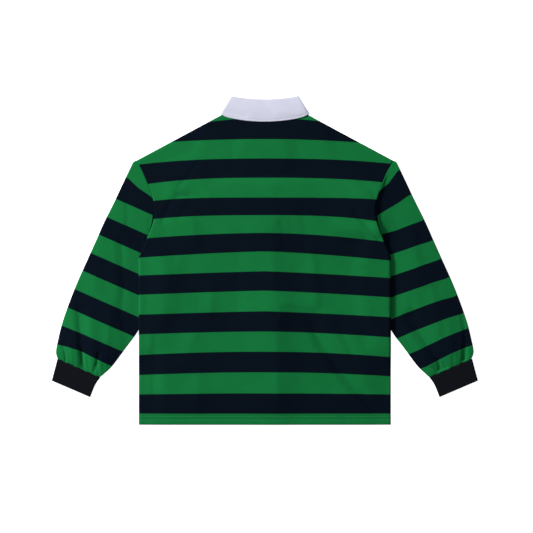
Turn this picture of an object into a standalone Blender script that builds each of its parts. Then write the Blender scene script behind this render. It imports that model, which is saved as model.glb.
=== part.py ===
# Long sleeved polo shirt of heavy striped jersey, laid flat on its front, seen from the back.
# X runs across the chest, Y from the hem to the collar, Z up from the surface that it lies on.
# Every cloth piece is a middle surface made by rows or rings, thickened to a wall on both sides.

from collections import namedtuple
from math import cos, hypot, pi, sin

import bmesh
import bpy
from mathutils import Matrix

for old in list(bpy.data.objects):
    bpy.data.objects.remove(old, do_unlink=True)


# Cloth
JERSEY = 0.0012
TWILL = 0.0015
STAND_TWILL = 0.0012
RIB_KNIT = 0.0024
GAP = 0.0003
TOUCHING = 0.00001

# Body. The hem is the panels' own cloth turned up, so the wall is thicker there.
CHEST = 0.5990
HEM_Y = -0.3900
HEM_TOP_Y = -0.3700
HEM_STEP = 0.0030
HEM_CLOTH = 0.0020
UNDERARM_Y = 0.0077
SHOULDER_TIP = (0.3043, 0.2387)
NECK_POINT = (0.0900, 0.3535)
BACK_NECK_Y = 0.3460
FRONT_NECK_Y = 0.2750
NECK_ROUNDNESS = 2.2

# The armhole seam from the underarm to the shoulder tip.
ARMHOLE = [
    (CHEST / 2, UNDERARM_Y),
    (0.2845, 0.0415),
    (0.2662, 0.0887),
    (0.2617, 0.1215),
    (0.2681, 0.1544),
    (0.2864, 0.2018),
    SHOULDER_TIP,
]
CURVE_STEPS = 20

# Rows and columns of the panels. Above the level rows they curve down to the front neck.
SIDE_ROWS = 13
ARMHOLE_ROWS = 10
LEVEL_ARMHOLE_ROWS = 4
SHOULDER_ROWS = 4
BACK_NECK_ROWS = 3
HALF_COLUMNS = 15

# Placket and buttons
PLACKET_WIDTH = 0.0320
PLACKET_FOOT_Y = 0.1270
SLOT_HALF = PLACKET_WIDTH / 2 + GAP
BUTTON_DIAMETER = 0.0115
BUTTON_THICKNESS = 0.0024
BUTTON_BEVEL = 0.0004
BUTTON_SIDES = 24
BUTTON_BEVEL_STEPS = 2
BUTTON_YS = (0.2620, 0.2050, 0.1480)

# Sleeves lie under the sides of the body here, and lift it.
TUCK_DEPTH = 0.0300
TUCK_MIDDLE_Y = -0.0600
TUCK_HALF_LENGTH = 0.1150
TUCK_LIFT = 0.0031
LIFT_MARGIN = 0.0300
LIFT_FADE = 0.0420

# The fronts of the collar and the buttons lie under the neck and the placket, and lift them.
NECK_LIFT = BUTTON_THICKNESS + GAP
NECK_ZONE = (0.1040, 0.2500, 0.3900)
PLACKET_ZONE = (PLACKET_WIDTH / 2, PLACKET_FOOT_Y, 0.2620)

# How far the back stands off the front, above the gap
BACK_PUFF = 0.0022
BACK_PUFF_LIMIT = 0.0036
PUFF_FADE = 0.0700
HEM_PUFF = 0.35
NECK_PUFF = 0.0003
PLACKET_PUFF = 0.0018

Fold = namedtuple("Fold", "x0 y0 x1 y1 width height")

# The largest creases, troughs below nothing and ridges above
BACK_FOLDS = [
    Fold(-0.154, 0.245, -0.206, 0.180, 0.030, -0.0016),
    Fold(-0.206, 0.180, -0.250, 0.114, 0.026, -0.0014),
    Fold(0.008, 0.120, 0.012, -0.085, 0.034, 0.0012),
    Fold(0.048, 0.110, 0.044, -0.100, 0.028, -0.0018),
    Fold(0.036, -0.105, 0.108, -0.112, 0.024, -0.0018),
    Fold(0.108, -0.117, 0.150, -0.225, 0.026, -0.0016),
    Fold(0.150, -0.225, 0.225, -0.325, 0.030, -0.0018),
    Fold(0.002, -0.180, 0.006, -0.370, 0.030, 0.0011),
    Fold(0.050, -0.190, 0.052, -0.360, 0.026, -0.0013),
    Fold(0.120, 0.228, 0.225, 0.150, 0.028, -0.0016),
    Fold(0.200, 0.115, 0.262, 0.045, 0.024, -0.0013),
    Fold(-0.150, -0.090, -0.146, -0.350, 0.040, -0.0014),
    Fold(-0.076, -0.060, -0.071, -0.350, 0.036, 0.0011),
    Fold(-0.190, -0.120, -0.194, -0.330, 0.028, 0.0010),
]

# Sleeve
Ring = namedtuple("Ring", "outer_x outer_y inner_x inner_y armhole puff outer_gap inner_gap")

# How far the lower end of the sleeve's seam lies in under the body's corner, at its last points
SEAM_TUCKS = {-1: 0.0225, -2: 0.0113}

# One row for each ring from the armhole to the cuff, by its two folded edges. armhole is the share of
# the armhole's curve that the ring still has. The inner edge runs under the body down to the ninth ring.
SLEEVE_RINGS = [
    Ring(SHOULDER_TIP[0], SHOULDER_TIP[1], 0.2770, UNDERARM_Y, 1.00, 0.0000, GAP, GAP),
    Ring(0.3125, 0.2350, 0.2800, 0.0020, 0.80, 0.0003, 0.0005, GAP),
    Ring(0.3205, 0.2190, 0.2810, -0.0120, 0.55, 0.0009, 0.0008, GAP),
    Ring(0.3380, 0.1820, 0.2810, -0.0300, 0.32, 0.0016, 0.0010, GAP),
    Ring(0.3567, 0.1423, 0.2805, -0.0500, 0.14, 0.0022, 0.0010, GAP),
    Ring(0.3805, 0.0946, 0.2800, -0.0720, 0.03, 0.0025, 0.0010, GAP),
    Ring(0.4019, 0.0470, 0.2795, -0.0950, 0.00, 0.0025, 0.0010, GAP),
    Ring(0.4233, -0.0006, 0.2810, -0.1180, 0.00, 0.0025, 0.0010, GAP),
    Ring(0.4448, -0.0482, 0.2890, -0.1430, 0.00, 0.0025, 0.0010, GAP),
    Ring(0.4638, -0.0958, 0.3053, -0.1730, 0.00, 0.0024, 0.0010, 0.0005),
    Ring(0.4805, -0.1435, 0.3329, -0.2100, 0.00, 0.0023, 0.0010, 0.0008),
    Ring(0.4905, -0.1830, 0.3614, -0.2482, 0.00, 0.0023, 0.0012, 0.0010),
    Ring(0.4968, -0.2150, 0.3805, -0.2673, 0.00, 0.0019, 0.0018, 0.0018),
    Ring(0.4926, -0.2323, 0.3911, -0.2766, 0.00, 0.0000, 0.0028, 0.0028),
]
SLEEVE_SEAM_SHIFT = 0.0004
SLEEVE_PUFF_MARGIN = 0.0100
SLEEVE_PUFF_FADE = 0.0400
CROWN_POWER = 0.6
FOLD_STEPS = 3

LEFT_SLEEVE_FOLDS = [
    Fold(-0.386, 0.060, -0.393, -0.060, 0.020, 0.0010),
    Fold(-0.350, 0.040, -0.336, -0.150, 0.022, -0.0012),
    Fold(-0.447, -0.134, -0.441, -0.250, 0.013, -0.0016),
    Fold(-0.487, -0.196, -0.475, -0.236, 0.010, -0.0012),
    Fold(-0.408, -0.215, -0.396, -0.266, 0.012, -0.0015),
]
RIGHT_SLEEVE_FOLDS = [
    Fold(0.350, 0.080, 0.372, -0.060, 0.022, -0.0012),
    Fold(0.358, -0.141, 0.393, -0.229, 0.015, -0.0016),
    Fold(0.393, -0.229, 0.415, -0.265, 0.012, -0.0015),
    Fold(0.425, -0.235, 0.436, -0.257, 0.010, -0.0011),
    Fold(0.467, -0.141, 0.474, -0.238, 0.012, -0.0013),
]

# Cuff, by the folded edges of each ring
CuffRing = namedtuple("CuffRing", "outer_x outer_y inner_x inner_y")

CUFF_RINGS = [
    CuffRing(0.4932, -0.2330, 0.3916, -0.2773),
    CuffRing(0.4992, -0.2560, 0.4040, -0.2960),
    CuffRing(0.5067, -0.2839, 0.4150, -0.3232),
]
CUFF_INNER_GAP = 0.0004
RIBS = 36
RIB_HEIGHT = 0.0004
CUFF_FLOOR_STEPS = 8
CUFF_FOLD_STEPS = 4

# Collar
TOP_CORNER = (0.0793, 0.3900)
SIDE_CORNER = (0.1043, 0.3506)
LEAF_POINT = (0.0640, 0.2500)
ROLL_FRONT = (0.0020, 0.3030)
ROLL_BACK_Y = 0.3827
FALL_BACK_Y = 0.3304
FALL_SIDE_Y = 0.3447
FALL_CORNER_POWER = 14
ROLL_BULGE = 0.0150
STAND_SIDE_CORNER = (0.0896, 0.3540)
STAND_TOP_CORNER = (0.0750, 0.3890)
STAND_SEAM_SHIFT = 0.00045
FALL_ROWS = 4
STAND_ROWS = 2
COLLAR_FRONT_STEPS = 6
COLLAR_BACK_STEPS = 14
COLLAR_FOLD_STEPS = 4
STAND_LOW = NECK_LIFT + STAND_TWILL / 2
STAND_HIGH = STAND_LOW + JERSEY + GAP + NECK_PUFF
FALL_LOW = TWILL / 2
FALL_HIGH = STAND_HIGH + STAND_TWILL / 2 + GAP + TWILL / 2

Finish = namedtuple("Finish", "name colour roughness")

GREEN_JERSEY = Finish("striped_jersey", (0.010, 0.168, 0.042), 0.90)
CHARCOAL_RIB = Finish("charcoal_rib", (0.007, 0.008, 0.011), 0.92)
PALE_TWILL = Finish("pale_twill", (0.651, 0.659, 0.787), 0.85)
NAVY_JERSEY = Finish("navy_jersey", (0.004, 0.013, 0.020), 0.90)
WHITE_BUTTON = Finish("white_button", (0.780, 0.770, 0.730), 0.35)


def smooth(value):
    held = min(max(value, 0.0), 1.0)
    return held * held * (3.0 - 2.0 * held)


def mix(start, end, share):
    return start + (end - start) * share


def mix_points(start, end, share):
    return tuple(mix(a, b, share) for a, b in zip(start, end))


def curve_through(points, steps):
    """Points at even steps along a smooth curve that passes through the points."""
    fine = []
    spans = len(points) - 1
    for span in range(spans):
        before = points[max(span - 1, 0)]
        start = points[span]
        end = points[span + 1]
        after = points[min(span + 2, spans)]
        for step in range(CURVE_STEPS):
            t = step / CURVE_STEPS
            fine.append(tuple(
                0.5 * (2 * b + (c - a) * t + (2 * a - 5 * b + 4 * c - d) * t ** 2
                       + (3 * b - a - 3 * c + d) * t ** 3)
                for a, b, c, d in zip(before, start, end, after)
            ))
    fine.append(points[-1])
    lengths = [0.0]
    for first, second in zip(fine, fine[1:]):
        lengths.append(lengths[-1] + hypot(second[0] - first[0], second[1] - first[1]))
    result = []
    place = 0
    for step in range(steps + 1):
        wanted = lengths[-1] * step / steps
        while place < len(fine) - 2 and lengths[place + 1] < wanted:
            place += 1
        share = (wanted - lengths[place]) / (lengths[place + 1] - lengths[place])
        result.append(mix_points(fine[place], fine[place + 1], share))
    return result


def fold_height(folds, x, y):
    """The height that soft creases add at a point. Each fades out at its ends and sides."""
    total = 0.0
    for fold in folds:
        run_x = fold.x1 - fold.x0
        run_y = fold.y1 - fold.y0
        length = hypot(run_x, run_y)
        along = ((x - fold.x0) * run_x + (y - fold.y0) * run_y) / length
        across = ((x - fold.x0) * run_y - (y - fold.y0) * run_x) / length
        past = max(-along, along - length, 0.0)
        away = hypot(across, past) / fold.width
        total += fold.height * (1.0 - smooth(away))
    return total


def box_distance(x, y, zone):
    half_width, low, high = zone
    return hypot(max(abs(x) - half_width, 0.0), max(low - y, y - high, 0.0))


def tuck_distance(x, y):
    """How far a point is from the part of the body that lies on a sleeve."""
    along = (y - TUCK_MIDDLE_Y) / TUCK_HALF_LENGTH
    depth = TUCK_DEPTH * max(1.0 - along * along, 0.0)
    beside = max(CHEST / 2 - depth - abs(x), 0.0)
    beyond = max(abs(y - TUCK_MIDDLE_Y) - TUCK_HALF_LENGTH, 0.0)
    return hypot(beside, beyond)


def near(distance):
    """One inside the margin round a zone, falling smoothly to nothing."""
    return 1.0 - smooth((distance - LIFT_MARGIN) / LIFT_FADE)


def cloth_at(y):
    return HEM_CLOTH if y <= HEM_TOP_Y else JERSEY


def front_height(x, y):
    """The middle of the front panel's cloth above the surface that the shirt lies on."""
    by_neck = near(box_distance(x, y, NECK_ZONE))
    by_placket = near(box_distance(x, y, PLACKET_ZONE))
    under_neck = NECK_LIFT * max(by_neck, by_placket)
    under_side = TUCK_LIFT * near(tuck_distance(x, y))
    return cloth_at(y) / 2 + max(under_neck, under_side)


def shoulder_distance(x, y):
    run_x = SHOULDER_TIP[0] - NECK_POINT[0]
    run_y = NECK_POINT[1] - SHOULDER_TIP[1]
    drop = (NECK_POINT[0] - abs(x)) * run_y + (NECK_POINT[1] - y) * run_x
    return max(drop, 0.0) / hypot(run_x, run_y)


def back_height(x, y, edge_x):
    """The middle of the back panel's cloth: the front, the gap, the air between them and the creases."""
    inside = smooth((edge_x - abs(x)) / PUFF_FADE)
    inside *= mix(HEM_PUFF, 1.0, smooth((y - HEM_Y) / PUFF_FADE))
    inside *= smooth(shoulder_distance(x, y) / PUFF_FADE)
    puff = inside * (BACK_PUFF + fold_height(BACK_FOLDS, x, y))
    by_neck = near(box_distance(x, y, NECK_ZONE))
    puff = mix(puff, NECK_PUFF, by_neck)
    over_placket = PLACKET_PUFF * near(box_distance(x, y, PLACKET_ZONE))
    puff = min(max(puff, over_placket, 0.0), BACK_PUFF_LIMIT)
    return front_height(x, y) + cloth_at(y) + GAP + puff


PanelRow = namedtuple("PanelRow", "half_width middle_y end_y")


def panel_rows():
    """Rows across a panel, from the hem to the back neck."""
    rows = [PanelRow(CHEST / 2, y, y) for y in (HEM_Y, HEM_TOP_Y)]
    for step in range(SIDE_ROWS):
        y = mix(HEM_TOP_Y + HEM_STEP, UNDERARM_Y, step / SIDE_ROWS)
        rows.append(PanelRow(CHEST / 2, y, y))
    ends = curve_through(ARMHOLE, ARMHOLE_ROWS)
    for step in range(SHOULDER_ROWS):
        ends.append(mix_points(SHOULDER_TIP, NECK_POINT, (step + 1) / SHOULDER_ROWS))
    level = ends[:LEVEL_ARMHOLE_ROWS + 1]
    curved = ends[LEVEL_ARMHOLE_ROWS + 1:]
    rows += [PanelRow(x, y, y) for x, y in level]
    for step, (x, y) in enumerate(curved):
        middle_y = mix(PLACKET_FOOT_Y, FRONT_NECK_Y, step / (len(curved) - 1))
        rows.append(PanelRow(x, middle_y, y))
    for step in range(BACK_NECK_ROWS):
        middle_y = mix(FRONT_NECK_Y, BACK_NECK_Y, (step + 1) / BACK_NECK_ROWS)
        rows.append(PanelRow(NECK_POINT[0], middle_y, NECK_POINT[1]))
    return rows


def panel_grid(rows, height):
    grid = []
    for row in rows:
        points = []
        for column in range(-HALF_COLUMNS, HALF_COLUMNS + 1):
            outward = max(abs(column) - 1, 0) / (HALF_COLUMNS - 1)
            x = mix(SLOT_HALF, row.half_width, outward) if column else 0.0
            y = mix(row.middle_y, row.end_y, (x / row.half_width) ** NECK_ROUNDNESS)
            x = x if column > 0 else -x
            points.append((x, y, height(x, y, row.half_width)))
        grid.append(points)
    return grid


def material_for(finish, node):
    material = bpy.data.materials.new(f"{finish.name}_{node}")
    material.use_nodes = True
    shader = material.node_tree.nodes["Principled BSDF"]
    shader.inputs["Base Color"].default_value = (*finish.colour, 1.0)
    shader.inputs["Roughness"].default_value = finish.roughness
    shader.inputs["Metallic"].default_value = 0.0
    return material


def add_object(name, mesh, finish):
    mesh.materials.append(material_for(finish, name))
    made = bpy.data.objects.new(name, mesh)
    collection.objects.link(made)
    return made


def cloth_wall(name, grid, thickness, finish, closed=False, left_out=()):
    """A wall of cloth on both sides of a surface given by rows of points, closed for a tube.

    left_out holds (row, column) cells that stay open.
    """
    shape = bmesh.new()
    points = [[shape.verts.new(point) for point in row] for row in grid]
    columns = len(grid[0])
    for row in range(len(grid) - 1):
        for column in range(columns if closed else columns - 1):
            if (row, column) in left_out:
                continue
            beside = (column + 1) % columns
            a = points[row][column]
            b = points[row][beside]
            c = points[row + 1][beside]
            d = points[row + 1][column]
            if (row + column) % 2:
                shape.faces.new((a, b, c))
                shape.faces.new((a, c, d))
            else:
                shape.faces.new((a, b, d))
                shape.faces.new((b, c, d))
    bmesh.ops.remove_doubles(shape, verts=shape.verts[:], dist=TOUCHING)
    loose = [vert for vert in shape.verts if not vert.link_faces]
    bmesh.ops.delete(shape, geom=loose, context="VERTS")
    mesh = bpy.data.meshes.new(name)
    shape.to_mesh(mesh)
    shape.free()
    mesh.shade_smooth()
    made = add_object(name, mesh, finish)
    wall = made.modifiers.new("Wall", "SOLIDIFY")
    wall.thickness = thickness
    wall.offset = 0.0
    return made


def thicken_hem(panel):
    """Gives the wall the hem's thickness in the rows of the hem."""
    group = panel.vertex_groups.new(name="Hem")
    hem = [vert.index for vert in panel.data.vertices if vert.co.y < HEM_TOP_Y + GAP]
    group.add(hem, 1.0, "REPLACE")
    wall = panel.modifiers["Wall"]
    wall.thickness = HEM_CLOTH
    wall.vertex_group = group.name
    wall.thickness_vertex_group = JERSEY / HEM_CLOTH


def make_panels():
    rows = panel_rows()
    front_rows = rows[:len(rows) - BACK_NECK_ROWS]
    slot_cells = {
        (place, column)
        for place, row in enumerate(front_rows)
        for column in (HALF_COLUMNS - 1, HALF_COLUMNS)
        if row.half_width != CHEST / 2 and row.middle_y >= PLACKET_FOOT_Y
    }
    front = panel_grid(front_rows, lambda x, y, half_width: front_height(x, y))
    front_panel = cloth_wall("front_panel", front, JERSEY, GREEN_JERSEY, left_out=slot_cells)
    back_panel = cloth_wall("back_panel", panel_grid(rows, back_height), JERSEY, GREEN_JERSEY)
    thicken_hem(front_panel)
    thicken_hem(back_panel)


def level_direction(start, end):
    run_x = end[0] - start[0]
    run_y = end[1] - start[1]
    length = hypot(run_x, run_y)
    return (run_x / length, run_y / length)


def fold_direction(edge, inward, place, turn):
    """The way out of a folded edge: square to the edge, but along the ring at the last one.

    edge holds the edge's points and inward the points beside them. turn's sign gives the side.
    """
    if place == len(edge) - 1:
        return level_direction(inward[place], edge[place])
    run_x, run_y = level_direction(edge[max(place - 1, 0)], edge[place + 1])
    return (turn * run_y, -turn * run_x)


def edge_arc(low, high, out):
    """The points between the two layers at a folded edge, on a half circle in the direction out."""
    radius = (high[2] - low[2]) / 2
    points = []
    for step in range(1, FOLD_STEPS):
        angle = pi * step / FOLD_STEPS
        reach = radius * sin(angle)
        rise = radius * (1.0 - cos(angle))
        points.append((low[0] + out[0] * reach, low[1] + out[1] * reach, low[2] + rise))
    return points


def flat_tube(layers, side):
    """The rings of a flattened tube: along a lower layer, round a folded edge, back, round the other edge."""
    outer_edge, beside_outer, beside_inner, inner_edge = (
        [lower[place] for lower, upper in layers] for place in (0, 1, -2, -1)
    )
    rings = []
    for place, (lower, upper) in enumerate(layers):
        inner_out = fold_direction(inner_edge, beside_inner, place, side)
        outer_out = fold_direction(outer_edge, beside_outer, place, -side)
        ring = lower + edge_arc(lower[-1], upper[-1], inner_out)
        ring += list(reversed(upper))
        ring += list(reversed(edge_arc(lower[0], upper[0], outer_out)))
        rings.append(ring)
    return rings


def side_clear(x, y):
    """Nothing where a sleeve lies under the body or right beside it, one further out."""
    away = tuck_distance(x, y)
    if abs(x) > CHEST / 2:
        beyond = max(abs(y - TUCK_MIDDLE_Y) - TUCK_HALF_LENGTH, 0.0)
        away = hypot(abs(x) - CHEST / 2, beyond)
    return smooth((away - SLEEVE_PUFF_MARGIN) / SLEEVE_PUFF_FADE)


def seam_bends(seam):
    """Each seam point's share of the way from the shoulder to the underarm, and its bend off that line."""
    drop = seam[-1][1] - seam[0][1]
    bends = []
    for x, y in seam:
        share = (y - seam[0][1]) / drop
        bends.append((share, x - mix(seam[0][0], seam[-1][0], share)))
    return bends


def sleeve_layers(ring, seam, folds, side):
    """The lower and the upper layer of a ring of a sleeve, from its outer edge to its inner edge.

    seam holds the points of the armhole from the shoulder to the underarm.
    """
    outer = (side * ring.outer_x, ring.outer_y)
    inner = (side * ring.inner_x, ring.inner_y)
    width = hypot(inner[0] - outer[0], inner[1] - outer[1])
    outer_inset = (JERSEY + ring.outer_gap / 2) / width
    inner_inset = (JERSEY + ring.inner_gap / 2) / width
    at_seam = ring.armhole == 1.0
    bends = seam_bends(seam)
    bends[0] = (outer_inset, bends[1][1] * outer_inset / bends[1][0])
    bends[-1] = (1.0 - inner_inset, bends[-2][1] * inner_inset / (1.0 - bends[-2][0]))
    lower = []
    upper = []
    for share, bend in bends:
        x, y = mix_points(outer, inner, share)
        x += ring.armhole * bend + (side * SLEEVE_SEAM_SHIFT if at_seam else 0.0)
        crown = sin(pi * share) ** CROWN_POWER * side_clear(x, y)
        air = mix(ring.outer_gap, ring.inner_gap, share)
        if not at_seam:
            air += crown * (ring.puff + fold_height(folds, x, y))
        lower_z = JERSEY / 2
        lower.append((x, y, lower_z))
        upper.append((x, y, lower_z + JERSEY + max(air, GAP)))
    return lower, upper


def make_sleeve(name, side, folds):
    seam = list(reversed(curve_through(ARMHOLE, ARMHOLE_ROWS)))
    for place, tuck in SEAM_TUCKS.items():
        seam[place] = (seam[place][0] - tuck, seam[place][1])
    seam = [(side * x, y) for x, y in seam]
    layers = [sleeve_layers(ring, seam, folds, side) for ring in SLEEVE_RINGS]
    cloth_wall(name, flat_tube(layers, side), JERSEY, GREEN_JERSEY, closed=True)


def cuff_loops(ring, side):
    """The outer and the inner loop of a flattened cuff. Ribs stand on the upper side only."""
    outer = (side * ring.outer_x, ring.outer_y)
    inner = (side * ring.inner_x, ring.inner_y)
    height = 2 * RIB_KNIT + CUFF_INNER_GAP
    reach = height / 2
    small = CUFF_INNER_GAP / 2
    width = hypot(inner[0] - outer[0], inner[1] - outer[1])
    along = ((inner[0] - outer[0]) / width, (inner[1] - outer[1]) / width)

    def at(distance, z):
        return (outer[0] + along[0] * distance, outer[1] + along[1] * distance, z)

    skin = []
    lining = []
    for step in range(CUFF_FLOOR_STEPS + 1):
        distance = mix(reach, width - reach, step / CUFF_FLOOR_STEPS)
        skin.append(at(distance, 0.0))
        lining.append(at(distance, RIB_KNIT))
    for step in range(1, CUFF_FOLD_STEPS):
        angle = pi * step / CUFF_FOLD_STEPS
        skin.append(at(width - reach + reach * sin(angle), reach - reach * cos(angle)))
        lining.append(at(width - reach + small * sin(angle), reach - small * cos(angle)))
    for step in range(2 * RIBS + 1):
        distance = mix(width - reach, reach, step / (2 * RIBS))
        skin.append(at(distance, height + RIB_HEIGHT * (step % 2)))
        lining.append(at(distance, height - RIB_KNIT))
    for step in range(1, CUFF_FOLD_STEPS):
        angle = pi * step / CUFF_FOLD_STEPS
        skin.append(at(reach - reach * sin(angle), reach + reach * cos(angle)))
        lining.append(at(reach - small * sin(angle), reach + small * cos(angle)))
    return skin, lining


def make_cuff(name, side):
    shape = bmesh.new()
    skins = []
    linings = []
    for ring in CUFF_RINGS:
        skin, lining = cuff_loops(ring, side)
        skins.append([shape.verts.new(point) for point in skin])
        linings.append([shape.verts.new(point) for point in lining])
    bands = list(zip(skins, skins[1:])) + list(zip(linings, linings[1:]))
    bands += [(skins[0], linings[0]), (skins[-1], linings[-1])]
    for first, second in bands:
        for place in range(len(first)):
            beside = (place + 1) % len(first)
            shape.faces.new((first[place], first[beside], second[beside], second[place]))
    bmesh.ops.triangulate(shape, faces=shape.faces[:])
    bmesh.ops.recalc_face_normals(shape, faces=shape.faces[:])
    mesh = bpy.data.meshes.new(name)
    shape.to_mesh(mesh)
    shape.free()
    add_object(name, mesh, CHARCOAL_RIB)


def collar_row(front, corner, back, low_z, high_z, thickness):
    """One row round the collar, as a flattened ring that is open at the centre front.

    front(t, flat_x) gives the right half's front points from the centre front at 0 to the folded side
    at 1. corner is the outermost point of that side. back(x, flat_x) gives the Y of the points across
    the back. flat_x is where the flat part ends and the side's fold begins.
    """
    radius = (high_z - low_z) / 2
    flat_x = corner[0] - radius - thickness / 2
    half = []
    for step in range(COLLAR_FRONT_STEPS):
        x, y = front(step / COLLAR_FRONT_STEPS, flat_x)
        half.append((x, y, low_z))
    for step in range(COLLAR_FOLD_STEPS + 1):
        angle = pi * step / COLLAR_FOLD_STEPS
        half.append((flat_x + radius * sin(angle), corner[1], (low_z + high_z) / 2 - radius * cos(angle)))
    for step in range(1, COLLAR_BACK_STEPS // 2):
        x = flat_x * (1.0 - step / (COLLAR_BACK_STEPS // 2))
        half.append((x, back(x, flat_x), high_z))
    middle = (0.0, back(0.0, flat_x), high_z)
    mirrored = [(-x, y, z) for x, y, z in half]
    return half + [middle] + list(reversed(mirrored))


def roll_y(x):
    """The roll line at the back, where the fall turns over the stand."""
    return mix(ROLL_BACK_Y, TOP_CORNER[1], (x / TOP_CORNER[0]) ** 2)


def roll_front(t, flat_x, side_y):
    """The roll line at the front, from the centre at 0 to the folded side at 1."""
    bulge = ROLL_BULGE * sin(pi * t)
    return (mix(ROLL_FRONT[0], flat_x, t) + bulge, mix(ROLL_FRONT[1], side_y, t) - bulge)


def fall_edge_y(x):
    """The lower edge of the fall across the back."""
    return mix(FALL_BACK_Y, FALL_SIDE_Y, (x / SIDE_CORNER[0]) ** 2)


def make_fall():
    rows = []
    for step in range(FALL_ROWS + 1):
        down = step / FALL_ROWS
        corner = mix_points(TOP_CORNER, SIDE_CORNER, down)

        def front(t, flat_x, corner=corner, down=down):
            roll = roll_front(t, flat_x, corner[1])
            leaf_edge = mix_points(LEAF_POINT, (flat_x, corner[1]), t)
            return mix_points(roll, leaf_edge, down)

        def back(x, flat_x, corner=corner, down=down):
            plain = mix(roll_y(x), fall_edge_y(x), down)
            plain_side = mix(roll_y(flat_x), fall_edge_y(flat_x), down)
            return plain + (corner[1] - plain_side) * (x / flat_x) ** FALL_CORNER_POWER

        rows.append(collar_row(front, corner, back, FALL_LOW, FALL_HIGH, TWILL))
    cloth_wall("collar_fall", rows, TWILL, PALE_TWILL)


def seam_y(x, middle_y):
    """The stand's lower edge, just clear of a panel's neck."""
    return mix(middle_y, NECK_POINT[1], (x / NECK_POINT[0]) ** NECK_ROUNDNESS) + STAND_SEAM_SHIFT


def make_stand():
    rows = []
    for step in range(STAND_ROWS + 1):
        up = step / STAND_ROWS
        corner = mix_points(STAND_SIDE_CORNER, STAND_TOP_CORNER, up)

        def front(t, flat_x, corner=corner, up=up):
            x = mix(ROLL_FRONT[0], flat_x, t)
            return mix_points((x, seam_y(x, FRONT_NECK_Y)), roll_front(t, flat_x, corner[1]), up)

        def back(x, flat_x, up=up):
            return mix(seam_y(x, BACK_NECK_Y), roll_y(x), up)

        rows.append(collar_row(front, corner, back, STAND_LOW, STAND_HIGH, STAND_TWILL))
    cloth_wall("collar_stand", rows, STAND_TWILL, PALE_TWILL)


def make_strip(name, low_z):
    """A flat strip of the placket, from the foot of the front's slot to the neck seam."""
    low_y = PLACKET_FOOT_Y + GAP
    high_y = FRONT_NECK_Y - GAP
    bpy.ops.mesh.primitive_cube_add(size=1.0, location=(0.0, (low_y + high_y) / 2, low_z + JERSEY / 2))
    strip = bpy.context.object
    strip.name = name
    strip.data.transform(Matrix.Diagonal((PLACKET_WIDTH, high_y - low_y, JERSEY, 1.0)))
    move_to_collection(strip, NAVY_JERSEY)


def move_to_collection(made, finish):
    made.data.materials.append(material_for(finish, made.name))
    for held in list(made.users_collection):
        held.objects.unlink(made)
    collection.objects.link(made)


def make_buttons():
    for number, y in enumerate(BUTTON_YS, start=1):
        bpy.ops.mesh.primitive_cylinder_add(
            vertices=BUTTON_SIDES, radius=BUTTON_DIAMETER / 2, depth=BUTTON_THICKNESS,
            location=(0.0, y, BUTTON_THICKNESS / 2),
        )
        button = bpy.context.object
        button.name = f"button_{number}"
        edge = button.modifiers.new("Round edge", "BEVEL")
        edge.width = BUTTON_BEVEL
        edge.segments = BUTTON_BEVEL_STEPS
        edge.angle_limit = pi / 4
        button.data.shade_smooth()
        button.data.set_sharp_from_angle(angle=pi / 6)
        move_to_collection(button, WHITE_BUTTON)


collection = bpy.data.collections.new("polo_shirt")
bpy.context.scene.collection.children.link(collection)

make_panels()
make_sleeve("sleeve_left", -1, LEFT_SLEEVE_FOLDS)
make_sleeve("sleeve_right", 1, RIGHT_SLEEVE_FOLDS)
make_cuff("cuff_left", -1)
make_cuff("cuff_right", 1)
make_stand()
make_fall()
make_strip("placket_upper", NECK_LIFT)
make_strip("placket_under", NECK_LIFT + JERSEY + GAP)
make_buttons()
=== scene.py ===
from collections import namedtuple
from math import pi

import bmesh
import bpy
import numpy as np
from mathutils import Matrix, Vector


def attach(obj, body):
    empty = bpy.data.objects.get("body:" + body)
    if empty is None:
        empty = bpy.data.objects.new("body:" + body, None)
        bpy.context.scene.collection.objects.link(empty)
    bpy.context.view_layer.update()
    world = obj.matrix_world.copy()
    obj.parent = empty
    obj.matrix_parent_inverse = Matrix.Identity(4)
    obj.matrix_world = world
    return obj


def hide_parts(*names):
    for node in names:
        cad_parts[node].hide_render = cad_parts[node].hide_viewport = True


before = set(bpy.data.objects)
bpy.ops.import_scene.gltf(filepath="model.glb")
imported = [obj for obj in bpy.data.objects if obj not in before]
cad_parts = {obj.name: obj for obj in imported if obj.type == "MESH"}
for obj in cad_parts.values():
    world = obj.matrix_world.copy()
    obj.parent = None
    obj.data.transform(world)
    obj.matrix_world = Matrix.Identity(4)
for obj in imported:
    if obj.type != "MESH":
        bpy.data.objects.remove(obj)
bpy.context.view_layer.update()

bpy.context.scene.view_settings.view_transform = "Standard"


# Front panel
# Heavy cotton jersey with broad green and navy stripes, cut in one piece and slit for the placket.
# It lies face down, and the sleeves, the collar and the buttons under it lift it a little.

JERSEY = 0.0012
SEAM_GAP = 0.0003
CHEST = 0.599
HEM_Y = -0.39
UNDERARM_Y = 0.0077
SHOULDER_TIP = (0.3043, 0.2387)
NECK_POINT = (0.0900, 0.3535)
BACK_NECK_Y = 0.346
FRONT_NECK_Y = 0.275
NECK_ROUNDNESS = 2.2
ARMHOLE = np.array([
    (CHEST / 2, UNDERARM_Y),
    (0.2845, 0.0415),
    (0.2662, 0.0887),
    (0.2617, 0.1215),
    (0.2681, 0.1544),
    (0.2864, 0.2018),
    SHOULDER_TIP,
])

PLACKET_WIDTH = 0.032
PLACKET_FOOT_Y = 0.127
SLOT_HALF = PLACKET_WIDTH / 2 + SEAM_GAP
BUTTON_THICKNESS = 0.0024

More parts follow.
